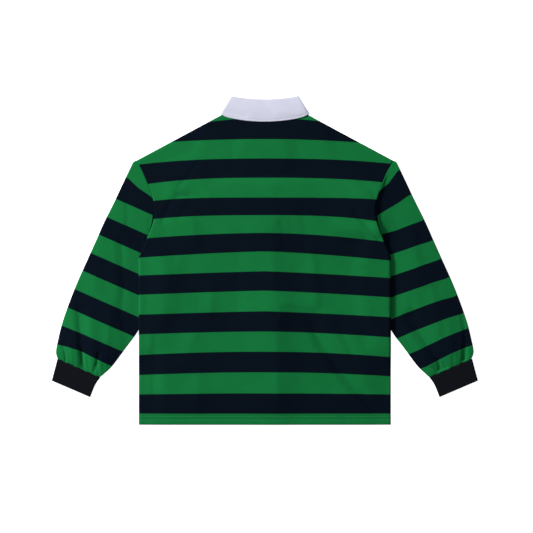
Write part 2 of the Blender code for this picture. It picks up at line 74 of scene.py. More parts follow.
# Where the sleeves lie under the sides of the body, and how far they lift it
TUCK_DEPTH = 0.03
TUCK_MIDDLE_Y = -0.06
TUCK_HALF_LENGTH = 0.115
TUCK_LIFT = 0.0031
LIFT_MARGIN = 0.03
LIFT_FADE = 0.042
NECK_LIFT = BUTTON_THICKNESS + SEAM_GAP
NECK_ZONE = (0.1040, 0.2500, 0.3900)
PLACKET_ZONE = (PLACKET_WIDTH / 2, PLACKET_FOOT_Y, 0.2620)

# The two rows of stitching in the hem, and how far beside them they pull the cloth in
HEM_STITCH_YS = (-0.3694, -0.3761)
STITCH_PULL_WIDTH = 0.0022

# Where the rows of points lie at the hem's edge and above its stitching, the height from which they
# bend down towards the neck, and how the rows and the columns are spread
HEM_EDGE_STEPS = (0.0, 0.003, 0.007)
ABOVE_STITCHING = 0.0055
BEND_Y = 0.075
BEND_SPREAD = 0.9
COLUMN_SPREAD = 1.15
SLOT_FOOT_MARGIN = 0.004

GREEN = (0.0072, 0.1780, 0.0440)
NAVY = (0.0022, 0.0056, 0.0118)
STRIPE_SHARPNESS = 16.0
KNIT_WALE = 0.0013
KNIT_COURSE = 0.001
KNIT_SLANT = 1.2
# How much darker the grooves between the knit's stitches are coloured, as painted shade
KNIT_SHADE = 0.16

StripeEdge = namedtuple("StripeEdge", "middle left_drop right_drop roundness")

# The stripes' edges from the collar down: their height at the middle of the body, how much lower they
# lie at its sides, and how slowly they begin to drop. Navy lies between the first two edges, green
# next, and so on to the hem.
STRIPE_EDGES = [
    StripeEdge(0.339, 0.046, 0.038, 2.0),
    StripeEdge(0.289, 0.011, 0.014, 2.0),
    StripeEdge(0.243, 0.014, 0.012, 2.5),
    StripeEdge(0.197, 0.018, 0.013, 2.7),
    StripeEdge(0.150, 0.012, 0.007, 4.0),
    StripeEdge(0.108, 0.013, 0.021, 3.0),
    StripeEdge(0.066, 0.014, 0.023, 1.8),
    StripeEdge(0.022, 0.015, 0.022, 1.4),
    StripeEdge(-0.025, 0.010, 0.016, 1.2),
    StripeEdge(-0.071, 0.010, 0.016, 1.2),
    StripeEdge(-0.120, 0.008, 0.014, 1.2),
    StripeEdge(-0.168, 0.007, 0.014, 1.5),
    StripeEdge(-0.216, 0.008, 0.013, 2.0),
    StripeEdge(-0.265, 0.007, 0.010, 2.0),
    StripeEdge(-0.315, 0.003, 0.003, 2.0),
    StripeEdge(-0.3635, 0.0, 0.0, 2.0),
]

# How far the first and the last band reach past the outermost edges, and the most of the last one
# that counts
FIRST_BAND = 0.045
LAST_BAND = 0.05
LAST_SHARE = 0.8


def smooth(value):
    held = np.clip(value, 0.0, 1.0)
    return held * held * (3.0 - 2.0 * held)


def mix(start, end, share):
    return start + (end - start) * share


POINTS_EACH_SPAN = 20


def curve_through(points, steps):
    """Points at even steps along a smooth curve through the rows of points."""
    spans = len(points) - 1
    places = np.linspace(0.0, spans, spans * POINTS_EACH_SPAN + 1)
    span = np.minimum(places.astype(int), spans - 1)
    t = (places - span)[:, None]
    before = points[np.maximum(span - 1, 0)]
    start = points[span]
    end = points[span + 1]
    after = points[np.minimum(span + 2, spans)]
    fine = 0.5 * (2 * start + (end - before) * t + (2 * before - 5 * start + 4 * end - after) * t ** 2
                  + (3 * start - before - 3 * end + after) * t ** 3)
    gone = np.concatenate([[0.0], np.cumsum(np.hypot(*np.diff(fine[:, :2], axis=0).T))])
    wanted = np.linspace(0.0, gone[-1], steps + 1)
    return np.stack([np.interp(wanted, gone, column) for column in fine.T], axis=1)


def box_distance(x, y, zone):
    half_width, low, high = zone
    past = np.maximum(np.maximum(low - y, y - high), 0.0)
    return np.hypot(np.maximum(abs(x) - half_width, 0.0), past)


def tuck_distance(x, y):
    """How far a point is from the part of the body that lies on a sleeve."""
    along = (y - TUCK_MIDDLE_Y) / TUCK_HALF_LENGTH
    depth = TUCK_DEPTH * np.maximum(1.0 - along * along, 0.0)
    beside = np.maximum(CHEST / 2 - depth - abs(x), 0.0)
    beyond = np.maximum(abs(y - TUCK_MIDDLE_Y) - TUCK_HALF_LENGTH, 0.0)
    return np.hypot(beside, beyond)


def near(distance, fade=LIFT_FADE):
    return 1.0 - smooth((distance - LIFT_MARGIN) / fade)


def front_height(x, y):
    """The middle of the front panel's cloth above the floor."""
    to_collar = np.minimum(box_distance(x, y, NECK_ZONE), box_distance(x, y, PLACKET_ZONE))
    return JERSEY / 2 + np.maximum(NECK_LIFT * near(to_collar), TUCK_LIFT * near(tuck_distance(x, y)))


def stripe_place(x, y):
    """How many stripe edges lie between the collar and a point. Navy lies after an even edge."""
    aside = np.minimum(abs(x) / (CHEST / 2), 1.0)
    edges = [edge.middle - np.where(x < 0.0, edge.left_drop, edge.right_drop) * aside ** edge.roundness
             for edge in STRIPE_EDGES]
    found = np.full(x.shape, -1.0)
    above = edges[0] + FIRST_BAND
    for number, here in enumerate(edges):
        passed = np.clip((above - y) / (above - here), 0.0, 1.0)
        found = np.where(y <= above, number - 1 + passed, found)
        above = here
    passed = np.clip((above - y) / LAST_BAND, 0.0, LAST_SHARE)
    return np.where(y < above, len(edges) - 1 + passed, found)


def panel_shape(side_rows, armhole_rows, shoulder_rows, neck_rows, half_columns):
    """The x, the y and the half width of a panel's points, from the hem up to the neck."""
    hem_ys = [HEM_Y + step for step in HEM_EDGE_STEPS]
    for row in HEM_STITCH_YS[::-1]:
        hem_ys += [row + STITCH_PULL_WIDTH * share for share in (-1.0, -0.5, 0.0, 0.5)]
    hem_ys.append(HEM_STITCH_YS[0] + STITCH_PULL_WIDTH)
    above_ys = np.linspace(HEM_STITCH_YS[0] + ABOVE_STITCHING, UNDERARM_Y, side_rows)[:-1]
    side_ys = np.concatenate([hem_ys, above_ys])
    side = np.stack([np.full(len(side_ys), CHEST / 2), side_ys], axis=1)
    arm = curve_through(ARMHOLE, armhole_rows)
    shoulder = np.linspace(SHOULDER_TIP, NECK_POINT, shoulder_rows + 1)[1:]
    ends = np.concatenate([side, arm, shoulder])
    middle_ys = ends[:, 1].copy()
    first = int(np.argmax(middle_ys > BEND_Y))
    bend = np.linspace(0, 1, len(ends) - first + 1)[1:] ** BEND_SPREAD
    middle_ys[first:] = mix(middle_ys[first - 1], FRONT_NECK_Y, bend)
    neck_ys = np.linspace(FRONT_NECK_Y, BACK_NECK_Y, neck_rows + 1)[1:]
    middle_ys = np.concatenate([middle_ys, neck_ys])
    ends = np.concatenate([ends, np.tile(NECK_POINT, (neck_rows, 1))])
    columns = np.arange(-half_columns, half_columns + 1)
    outward = np.maximum(abs(columns) - 1, 0) / (half_columns - 1)
    outward = 1.0 - (1.0 - outward) ** COLUMN_SPREAD
    half = ends[:, :1]
    x = np.where(columns == 0, 0.0, mix(SLOT_HALF, half, outward)) * np.sign(columns)
    y = mix(middle_ys[:, None], ends[:, 1:], (abs(x) / half) ** NECK_ROUNDNESS)
    return x, y, np.broadcast_to(half, x.shape)


def add_object(name, data):
    made = bpy.data.objects.new(name, data)
    bpy.context.scene.collection.objects.link(made)
    return made


def make_cloth(name, material, points, flat, thickness, closed=False, left_out=None, stripes=None):
    """A piece of cloth through rows of points. flat gives each point's place on the flat cloth."""
    rows, columns = points.shape[:2]
    index = np.arange(rows * columns).reshape(rows, columns)
    beside = np.roll(index, -1, axis=1)
    cells = np.stack([index[:-1], beside[:-1], beside[1:], index[1:]], axis=-1)
    if not closed:
        cells = cells[:, :-1]
    faces = cells.reshape(-1, 4) if left_out is None else cells[~left_out]
    used, faces = np.unique(faces, return_inverse=True)
    faces = faces.reshape(-1, 4)
    mesh = bpy.data.meshes.new(name)
    mesh.from_pydata(points.reshape(-1, 3)[used].tolist(), [], faces.tolist())
    places = flat.reshape(-1, 2)[used]
    layer = mesh.uv_layers.new(name="Cloth")
    layer.data.foreach_set("uv", places[faces.reshape(-1)].astype(np.float32).ravel())
    if stripes is not None:
        attribute = mesh.attributes.new("stripe", "FLOAT", "POINT")
        attribute.data.foreach_set("value", stripes.reshape(-1)[used].astype(np.float32))
    mesh.shade_smooth()
    mesh.materials.append(material)
    made = add_object(name, mesh)
    wall = made.modifiers.new("Wall", "SOLIDIFY")
    wall.thickness = thickness
    wall.offset = 0.0
    return made


def link(tree, source, target):
    if isinstance(source, (int, float)):
        target.default_value = source
    else:
        tree.links.new(source, target)


def calculate(tree, value, *steps):
    """Math nodes in turn on a value. Each step is an operation and what else it takes."""
    for operation, *others in steps:
        node = tree.nodes.new("ShaderNodeMath")
        node.operation = operation
        for source, target in zip((value, *others), node.inputs):
            link(tree, source, target)
        value = node.outputs[0]
    return value


def split_place(tree, place):
    node = tree.nodes.new("ShaderNodeSeparateXYZ")
    link(tree, place, node.inputs[0])
    return node.outputs


def set_inputs(node, values):
    for label, value in values.items():
        node.inputs[label].default_value = value


def new_group(name, numbers, output):
    """A node group that takes a place and named numbers, and puts out one number."""
    group = bpy.data.node_groups.new(name, "ShaderNodeTree")
    group.interface.new_socket("Place", in_out="INPUT", socket_type="NodeSocketVector")
    for label in numbers:
        group.interface.new_socket(label, in_out="INPUT", socket_type="NodeSocketFloat")
    group.interface.new_socket(output, in_out="OUTPUT", socket_type="NodeSocketFloat")
    return group, group.nodes.new("NodeGroupInput"), group.nodes.new("NodeGroupOutput")


def knit_group():
    """Knitted stitches in columns of small Vs, as a height from 0 to 1."""
    group, given, put = new_group("Knit stitches", ["Wale", "Course"], "Height")
    x, y, _ = split_place(group, given.outputs["Place"])
    off = calculate(
        group, x, ("DIVIDE", given.outputs["Wale"]), ("FRACT",), ("SUBTRACT", 0.5), ("ABSOLUTE",))
    slant = calculate(group, off, ("MULTIPLY", KNIT_SLANT))
    along = calculate(group, y, ("DIVIDE", given.outputs["Course"]), ("ADD", slant))
    leg = calculate(group, off, ("MULTIPLY", 2 * pi), ("SINE",))
    height = calculate(group, along, ("MULTIPLY", pi), ("SINE",), ("ABSOLUTE",), ("MULTIPLY", leg))
    link(group, height, put.inputs["Height"])
    return group


def mottle_group():
    """Soft patches and fine flecks, as a shade around 1 that a colour is multiplied by."""
    group, given, put = new_group("Mottle", ["Patches", "Flecks"], "Shade")
    shade = 1.0
    for label, scale, detail in (("Patches", 28.0, 3.0), ("Flecks", 420.0, 2.0)):
        noise = group.nodes.new("ShaderNodeTexNoise")
        set_inputs(noise, {"Scale": scale, "Detail": detail})
        link(group, given.outputs["Place"], noise.inputs["Vector"])
        shade = calculate(
            group, noise.outputs[0], ("SUBTRACT", 0.5), ("MULTIPLY", given.outputs[label]), ("ADD", shade))
    link(group, shade, put.inputs["Shade"])
    return group


def new_material(name, finish):
    """A material with the values of its finish on the shader's own sockets."""
    material = bpy.data.materials.new(name)
    material.use_nodes = True
    shader = material.node_tree.nodes["Principled BSDF"]
    set_inputs(shader, finish)
    return material, material.node_tree, shader


def place_group(tree, group, **values):
    node = tree.nodes.new("ShaderNodeGroup")
    node.node_tree = group
    for label, value in values.items():
        link(tree, value, node.inputs[label])
    return node.outputs[0]


def blend_colours(tree, factor, first, second, kind="MIX"):
    node = tree.nodes.new("ShaderNodeMix")
    node.data_type = "RGBA"
    node.blend_type = kind
    link(tree, factor, node.inputs[0])
    for value, socket in ((first, node.inputs[6]), (second, node.inputs[7])):
        if isinstance(value, tuple):
            socket.default_value = (*value, 1.0)
        else:
            tree.links.new(value, socket)
    return node.outputs[2]


def flat_place(tree):
    """The place on the flat cloth."""
    flat = tree.nodes.new("ShaderNodeUVMap")
    flat.uv_map = "Cloth"
    return flat.outputs["UV"]


def solid_place(tree):
    """The place in the object."""
    return tree.nodes.new("ShaderNodeTexCoord").outputs["Object"]


def raise_surface(tree, shader, height, strength, distance):
    bump = tree.nodes.new("ShaderNodeBump")
    set_inputs(bump, {"Strength": strength, "Distance": distance})
    link(tree, height, bump.inputs["Height"])
    link(tree, bump.outputs["Normal"], shader.inputs["Normal"])


KNIT = knit_group()
MOTTLE = mottle_group()


def shade_colour(tree, colour, shade):
    """A colour multiplied by a shade around 1."""
    grey = tree.nodes.new("ShaderNodeCombineColor")
    for socket in grey.inputs[:3]:
        link(tree, shade, socket)
    return blend_colours(tree, 1.0, colour, grey.outputs[0], "MULTIPLY")


def mottle_colour(tree, colour, patches, flecks):
    mottle = place_group(tree, MOTTLE, Place=solid_place(tree), Patches=patches, Flecks=flecks)
    return shade_colour(tree, colour, mottle)


def jersey_material():
    """Brushed heavy jersey. The stripes change at the edges that each point counts."""
    material, tree, shader = new_material("Striped jersey", {
        "Roughness": 0.92, "Specular IOR Level": 0.03, "Sheen Weight": 0.008, "Sheen Roughness": 0.5})
    count = tree.nodes.new("ShaderNodeAttribute")
    count.attribute_name = "stripe"
    green = calculate(
        tree, count.outputs["Fac"], ("MULTIPLY", pi), ("SINE",), ("MULTIPLY", -STRIPE_SHARPNESS),
        ("ADD", 0.5), ("MAXIMUM", 0.0), ("MINIMUM", 1.0))
    stripes = mottle_colour(tree, blend_colours(tree, green, NAVY, GREEN), patches=0.16, flecks=0.22)
    knit = place_group(tree, KNIT, Place=flat_place(tree), Wale=KNIT_WALE, Course=KNIT_COURSE)
    # Painted shade: the colour darkens where the knit's height is low, in the grooves between the
    # stitches.
    stitches = calculate(tree, knit, ("MULTIPLY", KNIT_SHADE), ("ADD", 1.0 - KNIT_SHADE / 2))
    link(tree, shade_colour(tree, stripes, stitches), shader.inputs["Base Color"])
    raise_surface(tree, shader, knit, strength=0.35, distance=0.0004)
    return material


JERSEY_CLOTH = jersey_material()

front_x, front_y, _ = panel_shape(
    side_rows=96, armhole_rows=48, shoulder_rows=34, neck_rows=0, half_columns=62)
front_points = np.stack([front_x, front_y, front_height(front_x, front_y)], axis=-1)
slot_rows = (front_y[:-1, front_y.shape[1] // 2] >= PLACKET_FOOT_Y - SLOT_FOOT_MARGIN)[:, None]
slot_columns = abs(front_x[:-1, :-1] + front_x[:-1, 1:]) / 2 < SLOT_HALF
front = make_cloth(
    "front_cloth", JERSEY_CLOTH, front_points, front_points[..., :2], JERSEY,
    left_out=slot_rows & slot_columns, stripes=stripe_place(front_x, front_y))
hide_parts("front_panel")
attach(front, "root")


# Back panel
# The same jersey in one piece, sewn to the front at the sides and the shoulders. Air between the two
# lets it lie in soft creases that run out from the centre, the shoulders and the underarms.

BACK_PUFF = 0.0044
BACK_PUFF_LEAST = 0.0004
BACK_PUFF_LIMIT = 0.0105
PUFF_FADE = 0.07
SHOULDER_FADE = 0.12
HEM_PUFF = 0.45
NECK_PUFF = 0.0003
PLACKET_PUFF = 0.0018
PLACKET_LIFT_FADE = 0.13
HEM_FOLD = 0.0007
HEM_FOLD_FADE = 0.003
STITCH_PULL = 0.0008
EDGE_ROLL = 0.0006
EDGE_ROLL_WIDTH = 0.0055
SIDE_ROLL_FADE = 0.015

# A crease with a roundness of 2 has a round crest, and one with 0 a sharp one. Its ends fade as its
# sides do, over a length longer by this divisor.
CREST_ROUNDNESS = 0.9
END_FADE = 0.7

Fold = namedtuple("Fold", "path west east height")


def creases(*rows):
    """Folds of the cloth from rows in millimetres."""
    return [Fold([(x / 1000, y / 1000) for x, y in path], west / 1000, east / 1000, height / 1000)
            for path, west, east, height in rows]


# Each crease follows its path. It is as wide on its west and its east side as stated, and a trough
# has a height below nothing. East is the upper side of a crease that runs level.
BACK_FOLDS = creases(
    (((16, 85), (24, -110)), 110, 55, 3),
    (((26, -140), (31, -370)), 130, 70, 5),
    (((52, -100), (104, -110)), 13, 34, 1.3),
    (((112, -155), (137, -206), (174, -255), (214, -307), (275, -366)), 22, 46, -4),
    (((230, -322), (262, -356), (286, -384)), 10, 20, -1.8),
    (((-150, 247), (-184, 202), (-203, 180)), 9, 16, -1.1),
    (((-182, 152), (-205, 154), (-226, 138), (-238, 113), (-243, 98)), 10, 20, -2.1),
    (((-176, 138), (-192, 124), (-205, 102)), 12, 18, -0.7),
    (((-150, 190), (-128, 150)), 30, 30, 1),
    (((-172, 100), (-165, 56)), 55, 30, 1.4),
    (((20, 300), (20, 160)), 30, 22, 0.7),
    (((-283, -6), (-281, -112)), 14, 16, -1.3),
    (((-206, 0), (-214, -110)), 36, 34, 1.1),
    (((-125, -70), (-130, -125)), 36, 28, 1.3),
    (((-262, -175), (-268, -335)), 18, 24, -2),
    (((-165, -170), (-182, -230)), 44, 30, 1.2),
    (((-156, -265), (-162, -345)), 44, 40, 1.4),
    (((112, 18), (122, -90)), 30, 22, 1.4),
    (((38.6, 88), (46, 26)), 9, 12, -0.5),
    (((131, 287), (184, 245)), 10, 14, -1.1),
    (((127, 228), (167, 199), (203, 168)), 11, 20, -1.1),
    (((239, 216), (279, 190)), 6, 12, -1.3),
    (((232, 185), (255, 168), (260, 152)), 12, 18, -1.3),
    (((215, 111), (238, 85), (268, 52)), 8, 18, -2),
    (((239, 49), (270, 33), (293, 9)), 7, 11, -1.5),
    (((182, -165), (206, -222)), 20, 20, -1.3),
    (((236, -20), (286, -48)), 10, 18, -1),
    (((90, 120), (96, 50)), 22, 22, -0.7),
    (((-60, 60), (-66, -120)), 30, 30, -0.8),
)

# Faint waves of the whole cloth: their turns for each metre of x and of y, their shift in turns, and
# their height
RIPPLES = (
    (6.3, 5.1, 0.10, 0.00016), (-5.2, 9.4, 0.45, 0.00013),
    (11.1, -7.3, 0.70, 0.00008), (3.7, 17.6, 0.25, 0.00006),
)

# The back keeps part of its height up to the armhole seams. On the right it does so right down the
# side and rises to the seam, so its edge stands above the sleeve.
LEFT_STAND = 0.4
RIGHT_STAND = 1.0
LEFT_STAND_LOW_Y = 0.02
RIGHT_STAND_LOW_Y = -0.3
RIGHT_STAND_FADE = 0.12
STAND_HIGH_Y = 0.165
STAND_HIGH_FADE = 0.06
STAND_FADE = 0.035
RIGHT_RISE = 0.006
RIGHT_RISE_LOW_Y = 0.042
RIGHT_RISE_WIDTH = 0.17


def fold_height(folds, x, y):
    """The height that soft creases add at each point. They fade out at their ends and sides."""
    total = np.zeros(x.shape)
    for fold in folds:
        bell = np.zeros(x.shape)
        for (x0, y0), (x1, y1) in zip(fold.path, fold.path[1:]):
            run_x = x1 - x0
            run_y = y1 - y0
            length = np.hypot(run_x, run_y)
            along = ((x - x0) * run_x + (y - y0) * run_y) / length
            across = ((x - x0) * run_y - (y - y0) * run_x) / length
            past = np.maximum(np.maximum(-along, along - length), 0.0)
            away = np.maximum(np.hypot(across, past), 1e-9)
            width = mix(fold.west, fold.east, 0.5 + 0.5 * across * np.sign(run_y) / away)
            off = np.clip(np.hypot(across, past * END_FADE) / width, 0.0, 1.0)
            bell = np.maximum(bell, (1.0 - off) ** 2 * (1.0 + CREST_ROUNDNESS * off))
        total += fold.height * bell
    return total


def ripple_height(x, y):
    return sum(height * np.sin(2 * pi * (in_x * x + in_y * y + shift))
               for in_x, in_y, shift, height in RIPPLES)


def standing(x, y):
    """How much of its height the back keeps at its edge, from 0 to 1."""
    right = smooth((y - RIGHT_STAND_LOW_Y) / RIGHT_STAND_FADE)
    left = smooth((y - LEFT_STAND_LOW_Y) / STAND_FADE)
    low = np.where(x > 0, right, left)
    high = 1.0 - smooth((y - STAND_HIGH_Y) / STAND_HIGH_FADE)
    return np.where(x > 0, RIGHT_STAND, LEFT_STAND) * low * high


def right_rise(x, y):
    low = smooth((y - RIGHT_RISE_LOW_Y) / STAND_FADE)
    high = 1.0 - smooth((y - STAND_HIGH_Y) / STAND_HIGH_FADE)
    return np.where(x > 0, RIGHT_RISE, 0.0) * low * high


def stitch_pull(y):
    """How far the hem's stitching pulls the cloth in at a height."""
    rows = [1.0 - smooth(abs(y - row) / STITCH_PULL_WIDTH) for row in HEM_STITCH_YS]
    return STITCH_PULL * np.maximum(*rows)


def hem_layer(y):
    """The turned up cloth inside the hem, which raises what lies on it."""
    return HEM_FOLD * (1.0 - smooth((y - HEM_STITCH_YS[0]) / HEM_FOLD_FADE))


def edge_roll(distance):
    """A quarter round from the cloth's edge inwards, from 0 to 1."""
    return np.sqrt(1.0 - (1.0 - np.clip(distance / EDGE_ROLL_WIDTH, 0, 1)) ** 2)


def shoulder_distance(x, y):
    run_x = SHOULDER_TIP[0] - NECK_POINT[0]
    run_y = NECK_POINT[1] - SHOULDER_TIP[1]
    drop = (NECK_POINT[0] - abs(x)) * run_y + (NECK_POINT[1] - y) * run_x
    return np.maximum(drop, 0.0) / np.hypot(run_x, run_y)


def back_height(x, y, half):
    """The middle of the back panel's cloth: the front, the air and the creases."""
    to_edge = half - abs(x)
    to_shoulder = shoulder_distance(x, y)
    inside = mix(smooth(to_edge / PUFF_FADE), 1.0, standing(x, y))
    inside *= mix(HEM_PUFF, 1.0, smooth((y - HEM_Y) / PUFF_FADE))
    inside *= smooth(to_shoulder / SHOULDER_FADE)
    puff = inside * (BACK_PUFF + fold_height(BACK_FOLDS, x, y) + ripple_height(x, y))
    puff += inside * right_rise(x, y) * (1.0 - smooth(to_edge / RIGHT_RISE_WIDTH))
    puff = np.clip(puff, BACK_PUFF_LEAST, BACK_PUFF_LIMIT)
    roll = edge_roll(to_edge)
    side_roll = mix(roll, 1.0, smooth((y - UNDERARM_Y) / SIDE_ROLL_FADE))
    puff = puff * side_roll + EDGE_ROLL * roll * edge_roll(to_shoulder)
    puff = mix(puff, NECK_PUFF, near(box_distance(x, y, NECK_ZONE)))
    from_placket = box_distance(x, y, PLACKET_ZONE)
    puff = np.maximum(puff, PLACKET_PUFF * near(from_placket))
    over_placket = JERSEY / 2 + NECK_LIFT * near(from_placket, PLACKET_LIFT_FADE)
    lifted = np.maximum(front_height(x, y), over_placket)
    return lifted + JERSEY + SEAM_GAP + puff + hem_layer(y) - stitch_pull(y)


back_x, back_y, back_half = panel_shape(
    side_rows=118, armhole_rows=66, shoulder_rows=46, neck_rows=22, half_columns=78)
back_points = np.stack([back_x, back_y, back_height(back_x, back_y, back_half)], axis=-1)
back = make_cloth(
    "back_cloth", JERSEY_CLOTH, back_points, back_points[..., :2], JERSEY,
    stripes=stripe_place(back_x, back_y))
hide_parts("back_panel")
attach(back, "root")


# Sleeves
# Two long set-in sleeves of the same jersey, each a tube pressed flat with a fold along both sides.
# They slant down beside the body, lie under its edge near the underarm, and gather into the cuffs.

SLEEVE_AXIS = (0.403, -0.915)

# One row for each ring from the armhole to the cuff, in millimetres: the x and the y of its outer and
# of its inner folded edge, how far it follows the armhole in thousandths, how high it puffs, and the
# gap inside the outer and the inner fold
SLEEVE_RINGS = np.array([
    (304.3, 238.7, 277, 7.7, 1000, 0, 0.3, 0.3),
    (312.5, 235, 280, 2, 800, 0.6, 0.6, 0.3),
    (320.5, 219, 281, -12, 550, 1.4, 1, 0.3),
    (338, 182, 281, -30, 320, 1.6, 1.4, 0.3),
    (356.7, 142.3, 280.5, -50, 140, 2, 1.6, 0.3),
    (380.5, 94.6, 280, -72, 30, 2, 1.8, 0.3),
    (401.9, 47, 279.5, -95, 0, 2.1, 1.8, 0.3),
    (423.3, -0.6, 281, -118, 0, 2.3, 1.8, 0.3),
    (444.8, -48.2, 289, -143, 0, 2.7, 1.8, 0.3),
    (463.8, -95.8, 305.3, -173, 0, 3.4, 1.8, 1),
    (480.5, -143.5, 332.9, -210, 0, 4.5, 2, 1.6),
    (490.5, -183, 361.4, -248.2, 0, 5, 2.4, 2.2),
    (496.8, -215, 380.5, -267.3, 0, 2.8, 3, 3),
    (492.6, -232.3, 391.1, -276.6, 0, 0, 3, 3),
]) / 1000
SEAM_STEPS = 60
SLEEVE_LENGTH_STEPS = 600
SLEEVE_RING_STEPS = 170
SLEEVE_RING_SPREAD = 1.2
SLEEVE_ACROSS = 58
SLEEVE_FOLD_STEPS = 6
SLEEVE_FOLD_REACH = 0.002
SLEEVE_CROWN = 0.85

# How deep the seam lies under the body's edge at three heights, from the underarm up
SEAM_TUCK_YS = (UNDERARM_Y, 0.0303, 0.0520)
SEAM_TUCKS = (0.0225, 0.0113, 0.0)

# The shares of the length where the last folds turn in line with the cuff, where the joint with the
# cuff begins to stray, and over which the creases end in the gathers
TURN_START = 0.93
STRAY_START = 0.955
GATHER_SHARE = 0.016
JOINT_STRAY = 0.0008

# How far beside the body's edge the sleeve begins to puff, and how it falls away from the raised seam
# of the armhole: in a slope on both sides, on the right with a step at the seam
SLEEVE_PUFF_MARGIN = 0.006
SLEEVE_PUFF_FADE = 0.045
ARMHOLE_SLOPE = 0.05
RIGHT_SEAM_STEP = 0.45
SEAM_STEP_WIDTH = 0.0055
SEAM_FALLS = {-1: 1.5, 1: 1.9}
SEAM_DROP = 0.82
SLEEVE_EMERGES_Y = 0.04
SLEEVE_EMERGES_FADE = 0.05
UNDER_BODY_Y = 0.05

# The stripes' edges along each sleeve, from the shoulder tip towards the cuff, in tenths of a
# millimetre: at the sleeve's outer side, 60 mm further in and 120 mm further in. The cap above the
# first edge is green.
LEFT_SLEEVE_STRIPES = np.array([
    (480, 645, 800), (1040, 1040, 1040), (1520, 1520, 1520), (1980, 1980, 1980), (2455, 2455, 2455),
    (2920, 2920, 2920), (3395, 3395, 3395), (3865, 3865, 3865), (4310, 4295, 4295), (4775, 4685, 4715),
]) / 10000
RIGHT_SLEEVE_STRIPES = np.array([
    (280, 545, 900), (920, 1015, 1100), (1590, 1555, 1460), (2120, 2065, 2010), (2600, 2555, 2500),
    (3080, 3025, 2975), (3550, 3475, 3445), (4000, 3940, 3920), (4370, 4345, 4370), (4780, 4755, 4800),
]) / 10000
STRIPE_DEPTHS = (0.0, 0.030, 0.060, 0.120)
STRIPE_BEND = 0.66
CAP_LENGTH = 0.06

# A place in the middle of a navy band. These first rings along the armhole seam are coloured with
# it between two heights, as a dark line there.
NAVY_PLACE = 0.5
SEAM_LINE_RINGS = 3
SEAM_LINE_LOW_Y = 0.048
SEAM_LINE_HIGH_Y = 0.105

LEFT_SLEEVE_FOLDS = creases(
    (((-342, 45), (-338, -10), (-333, -60), (-340, -110), (-334, -160)), 21, 30, -2.3),
    (((-334, -165), (-322, -205)), 12, 16, -1.6),
    (((-330, 145), (-326, 85)), 12, 20, -1.2),
    (((-444, -122), (-440, -165), (-437, -200), (-433, -264)), 14, 34, -4.4),
    (((-436, -215), (-430, -268)), 6, 7, -2.8),
    (((-396, -224), (-400, -242), (-408, -268)), 6, 10, -3.6),
    (((-399, -246), (-396, -272)), 4, 7, -3),
    (((-482, -200), (-476, -217), (-473, -244)), 4, 7, -3.4),
    (((-392, 70), (-404, -60)), 40, 30, 1.6),
    (((-414, -130), (-410, -215)), 22, 30, 0.8),
    (((-368, -130), (-378, -235)), 22, 22, 1.2),
    (((-462, -190), (-458, -245)), 8, 8, 1),
    (((-422, -235), (-418, -262)), 5, 8, -1.2),
    (((-385, -225), (-383, -262)), 5, 6, -1),
)
RIGHT_SLEEVE_FOLDS = creases(
    (((346, -141), (370, -177), (396, -215), (414, -243), (421, -266)), 26, 36, -5.2),
    (((413, -238), (420, -272)), 6, 6, -3),
    (((470, -126), (476, -160), (478, -195), (474, -246)), 11, 12, -6.4),
    (((470, -206), (471, -248)), 5, 5, -2.2),
    (((384, -253), (402, -257), (416, -266)), 4, 6, -2.4),
    (((424, -246), (437, -258)), 4, 6, -1.6),
    (((350, -100), (356, -140)), 16, 16, -0.8),
    (((352, 70), (372, -50)), 30, 22, 1.2),
    (((395, -60), (412, -160)), 24, 20, 1.2),
    (((436, -150), (443, -200)), 18, 18, 1),
    (((447, -226), (449, -250)), 5, 5, -1),
)


def joint_wave(share, side):
    """How far the seam between a sleeve and its cuff strays, across the sleeve."""
    return JOINT_STRAY * (np.sin(share * 9.0 * pi + side) + 0.5 * np.sin(share * 17.0 * pi))


def armhole_x(y):
    curve = curve_through(ARMHOLE, 2 * SEAM_STEPS)
    return np.interp(y, curve[:, 1], curve[:, 0])


def on_sleeve(x, y):
    """A point's places across and along a sleeve on the right, from the shoulder tip."""
    x = x - SHOULDER_TIP[0]
    y = y - SHOULDER_TIP[1]
    along_x, along_y = SLEEVE_AXIS
    return y * along_x - x * along_y, x * along_x + y * along_y


def sleeve_stripe_place(across, along, stripes):
    """How many stripe edges lie between the shoulder tip and a point on a sleeve."""
    inward = np.clip(-across, 0.0, STRIPE_DEPTHS[-1])
    above = np.full(along.shape, -CAP_LENGTH)
    found = np.zeros(along.shape)
    for number, (outer, middle, inner) in enumerate(stripes):
        here = np.interp(inward, STRIPE_DEPTHS, (outer, mix(outer, middle, STRIPE_BEND), middle, inner))
        inside = (along > above) & (along <= here)
        found = np.where(inside, number + (along - above) / (here - above), found)
        above = here
    beyond = np.clip((along - above) / CAP_LENGTH, 0.0, LAST_SHARE)
    return np.where(along > above, len(stripes) + beyond, found) - 1.0


def sleeve_fold(x, y, low, high, from_seam, column, turn):
    """The half round that joins the two layers along one folded edge of a sleeve."""
    centre = (low[:, column] + high[:, column]) / 2
    radius = (high[:, column] - low[:, column]) / 2
    edge = np.stack([x[:, column], y[:, column]], axis=1)
    run = np.gradient(edge, axis=0)
    run /= np.hypot(*run.T)[:, None]
    out = np.stack([turn * run[:, 1], -turn * run[:, 0]], axis=1)
    other = 0 if column else -1
    last = edge[-1] - (x[-1, other], y[-1, other])
    last /= np.hypot(*last)
    out = mix(out, last, smooth((from_seam - TURN_START) / (1.0 - TURN_START)))
    out /= np.hypot(*out.T)[:, None]
    arc = []
    for step in range(1, SLEEVE_FOLD_STEPS):
        angle = pi * step / SLEEVE_FOLD_STEPS
        level = edge + out * (np.minimum(radius, SLEEVE_FOLD_REACH) * np.sin(angle))[:, None]
        arc.append(np.column_stack([level, centre - radius * np.cos(angle)]))
    return np.stack(arc, axis=1)


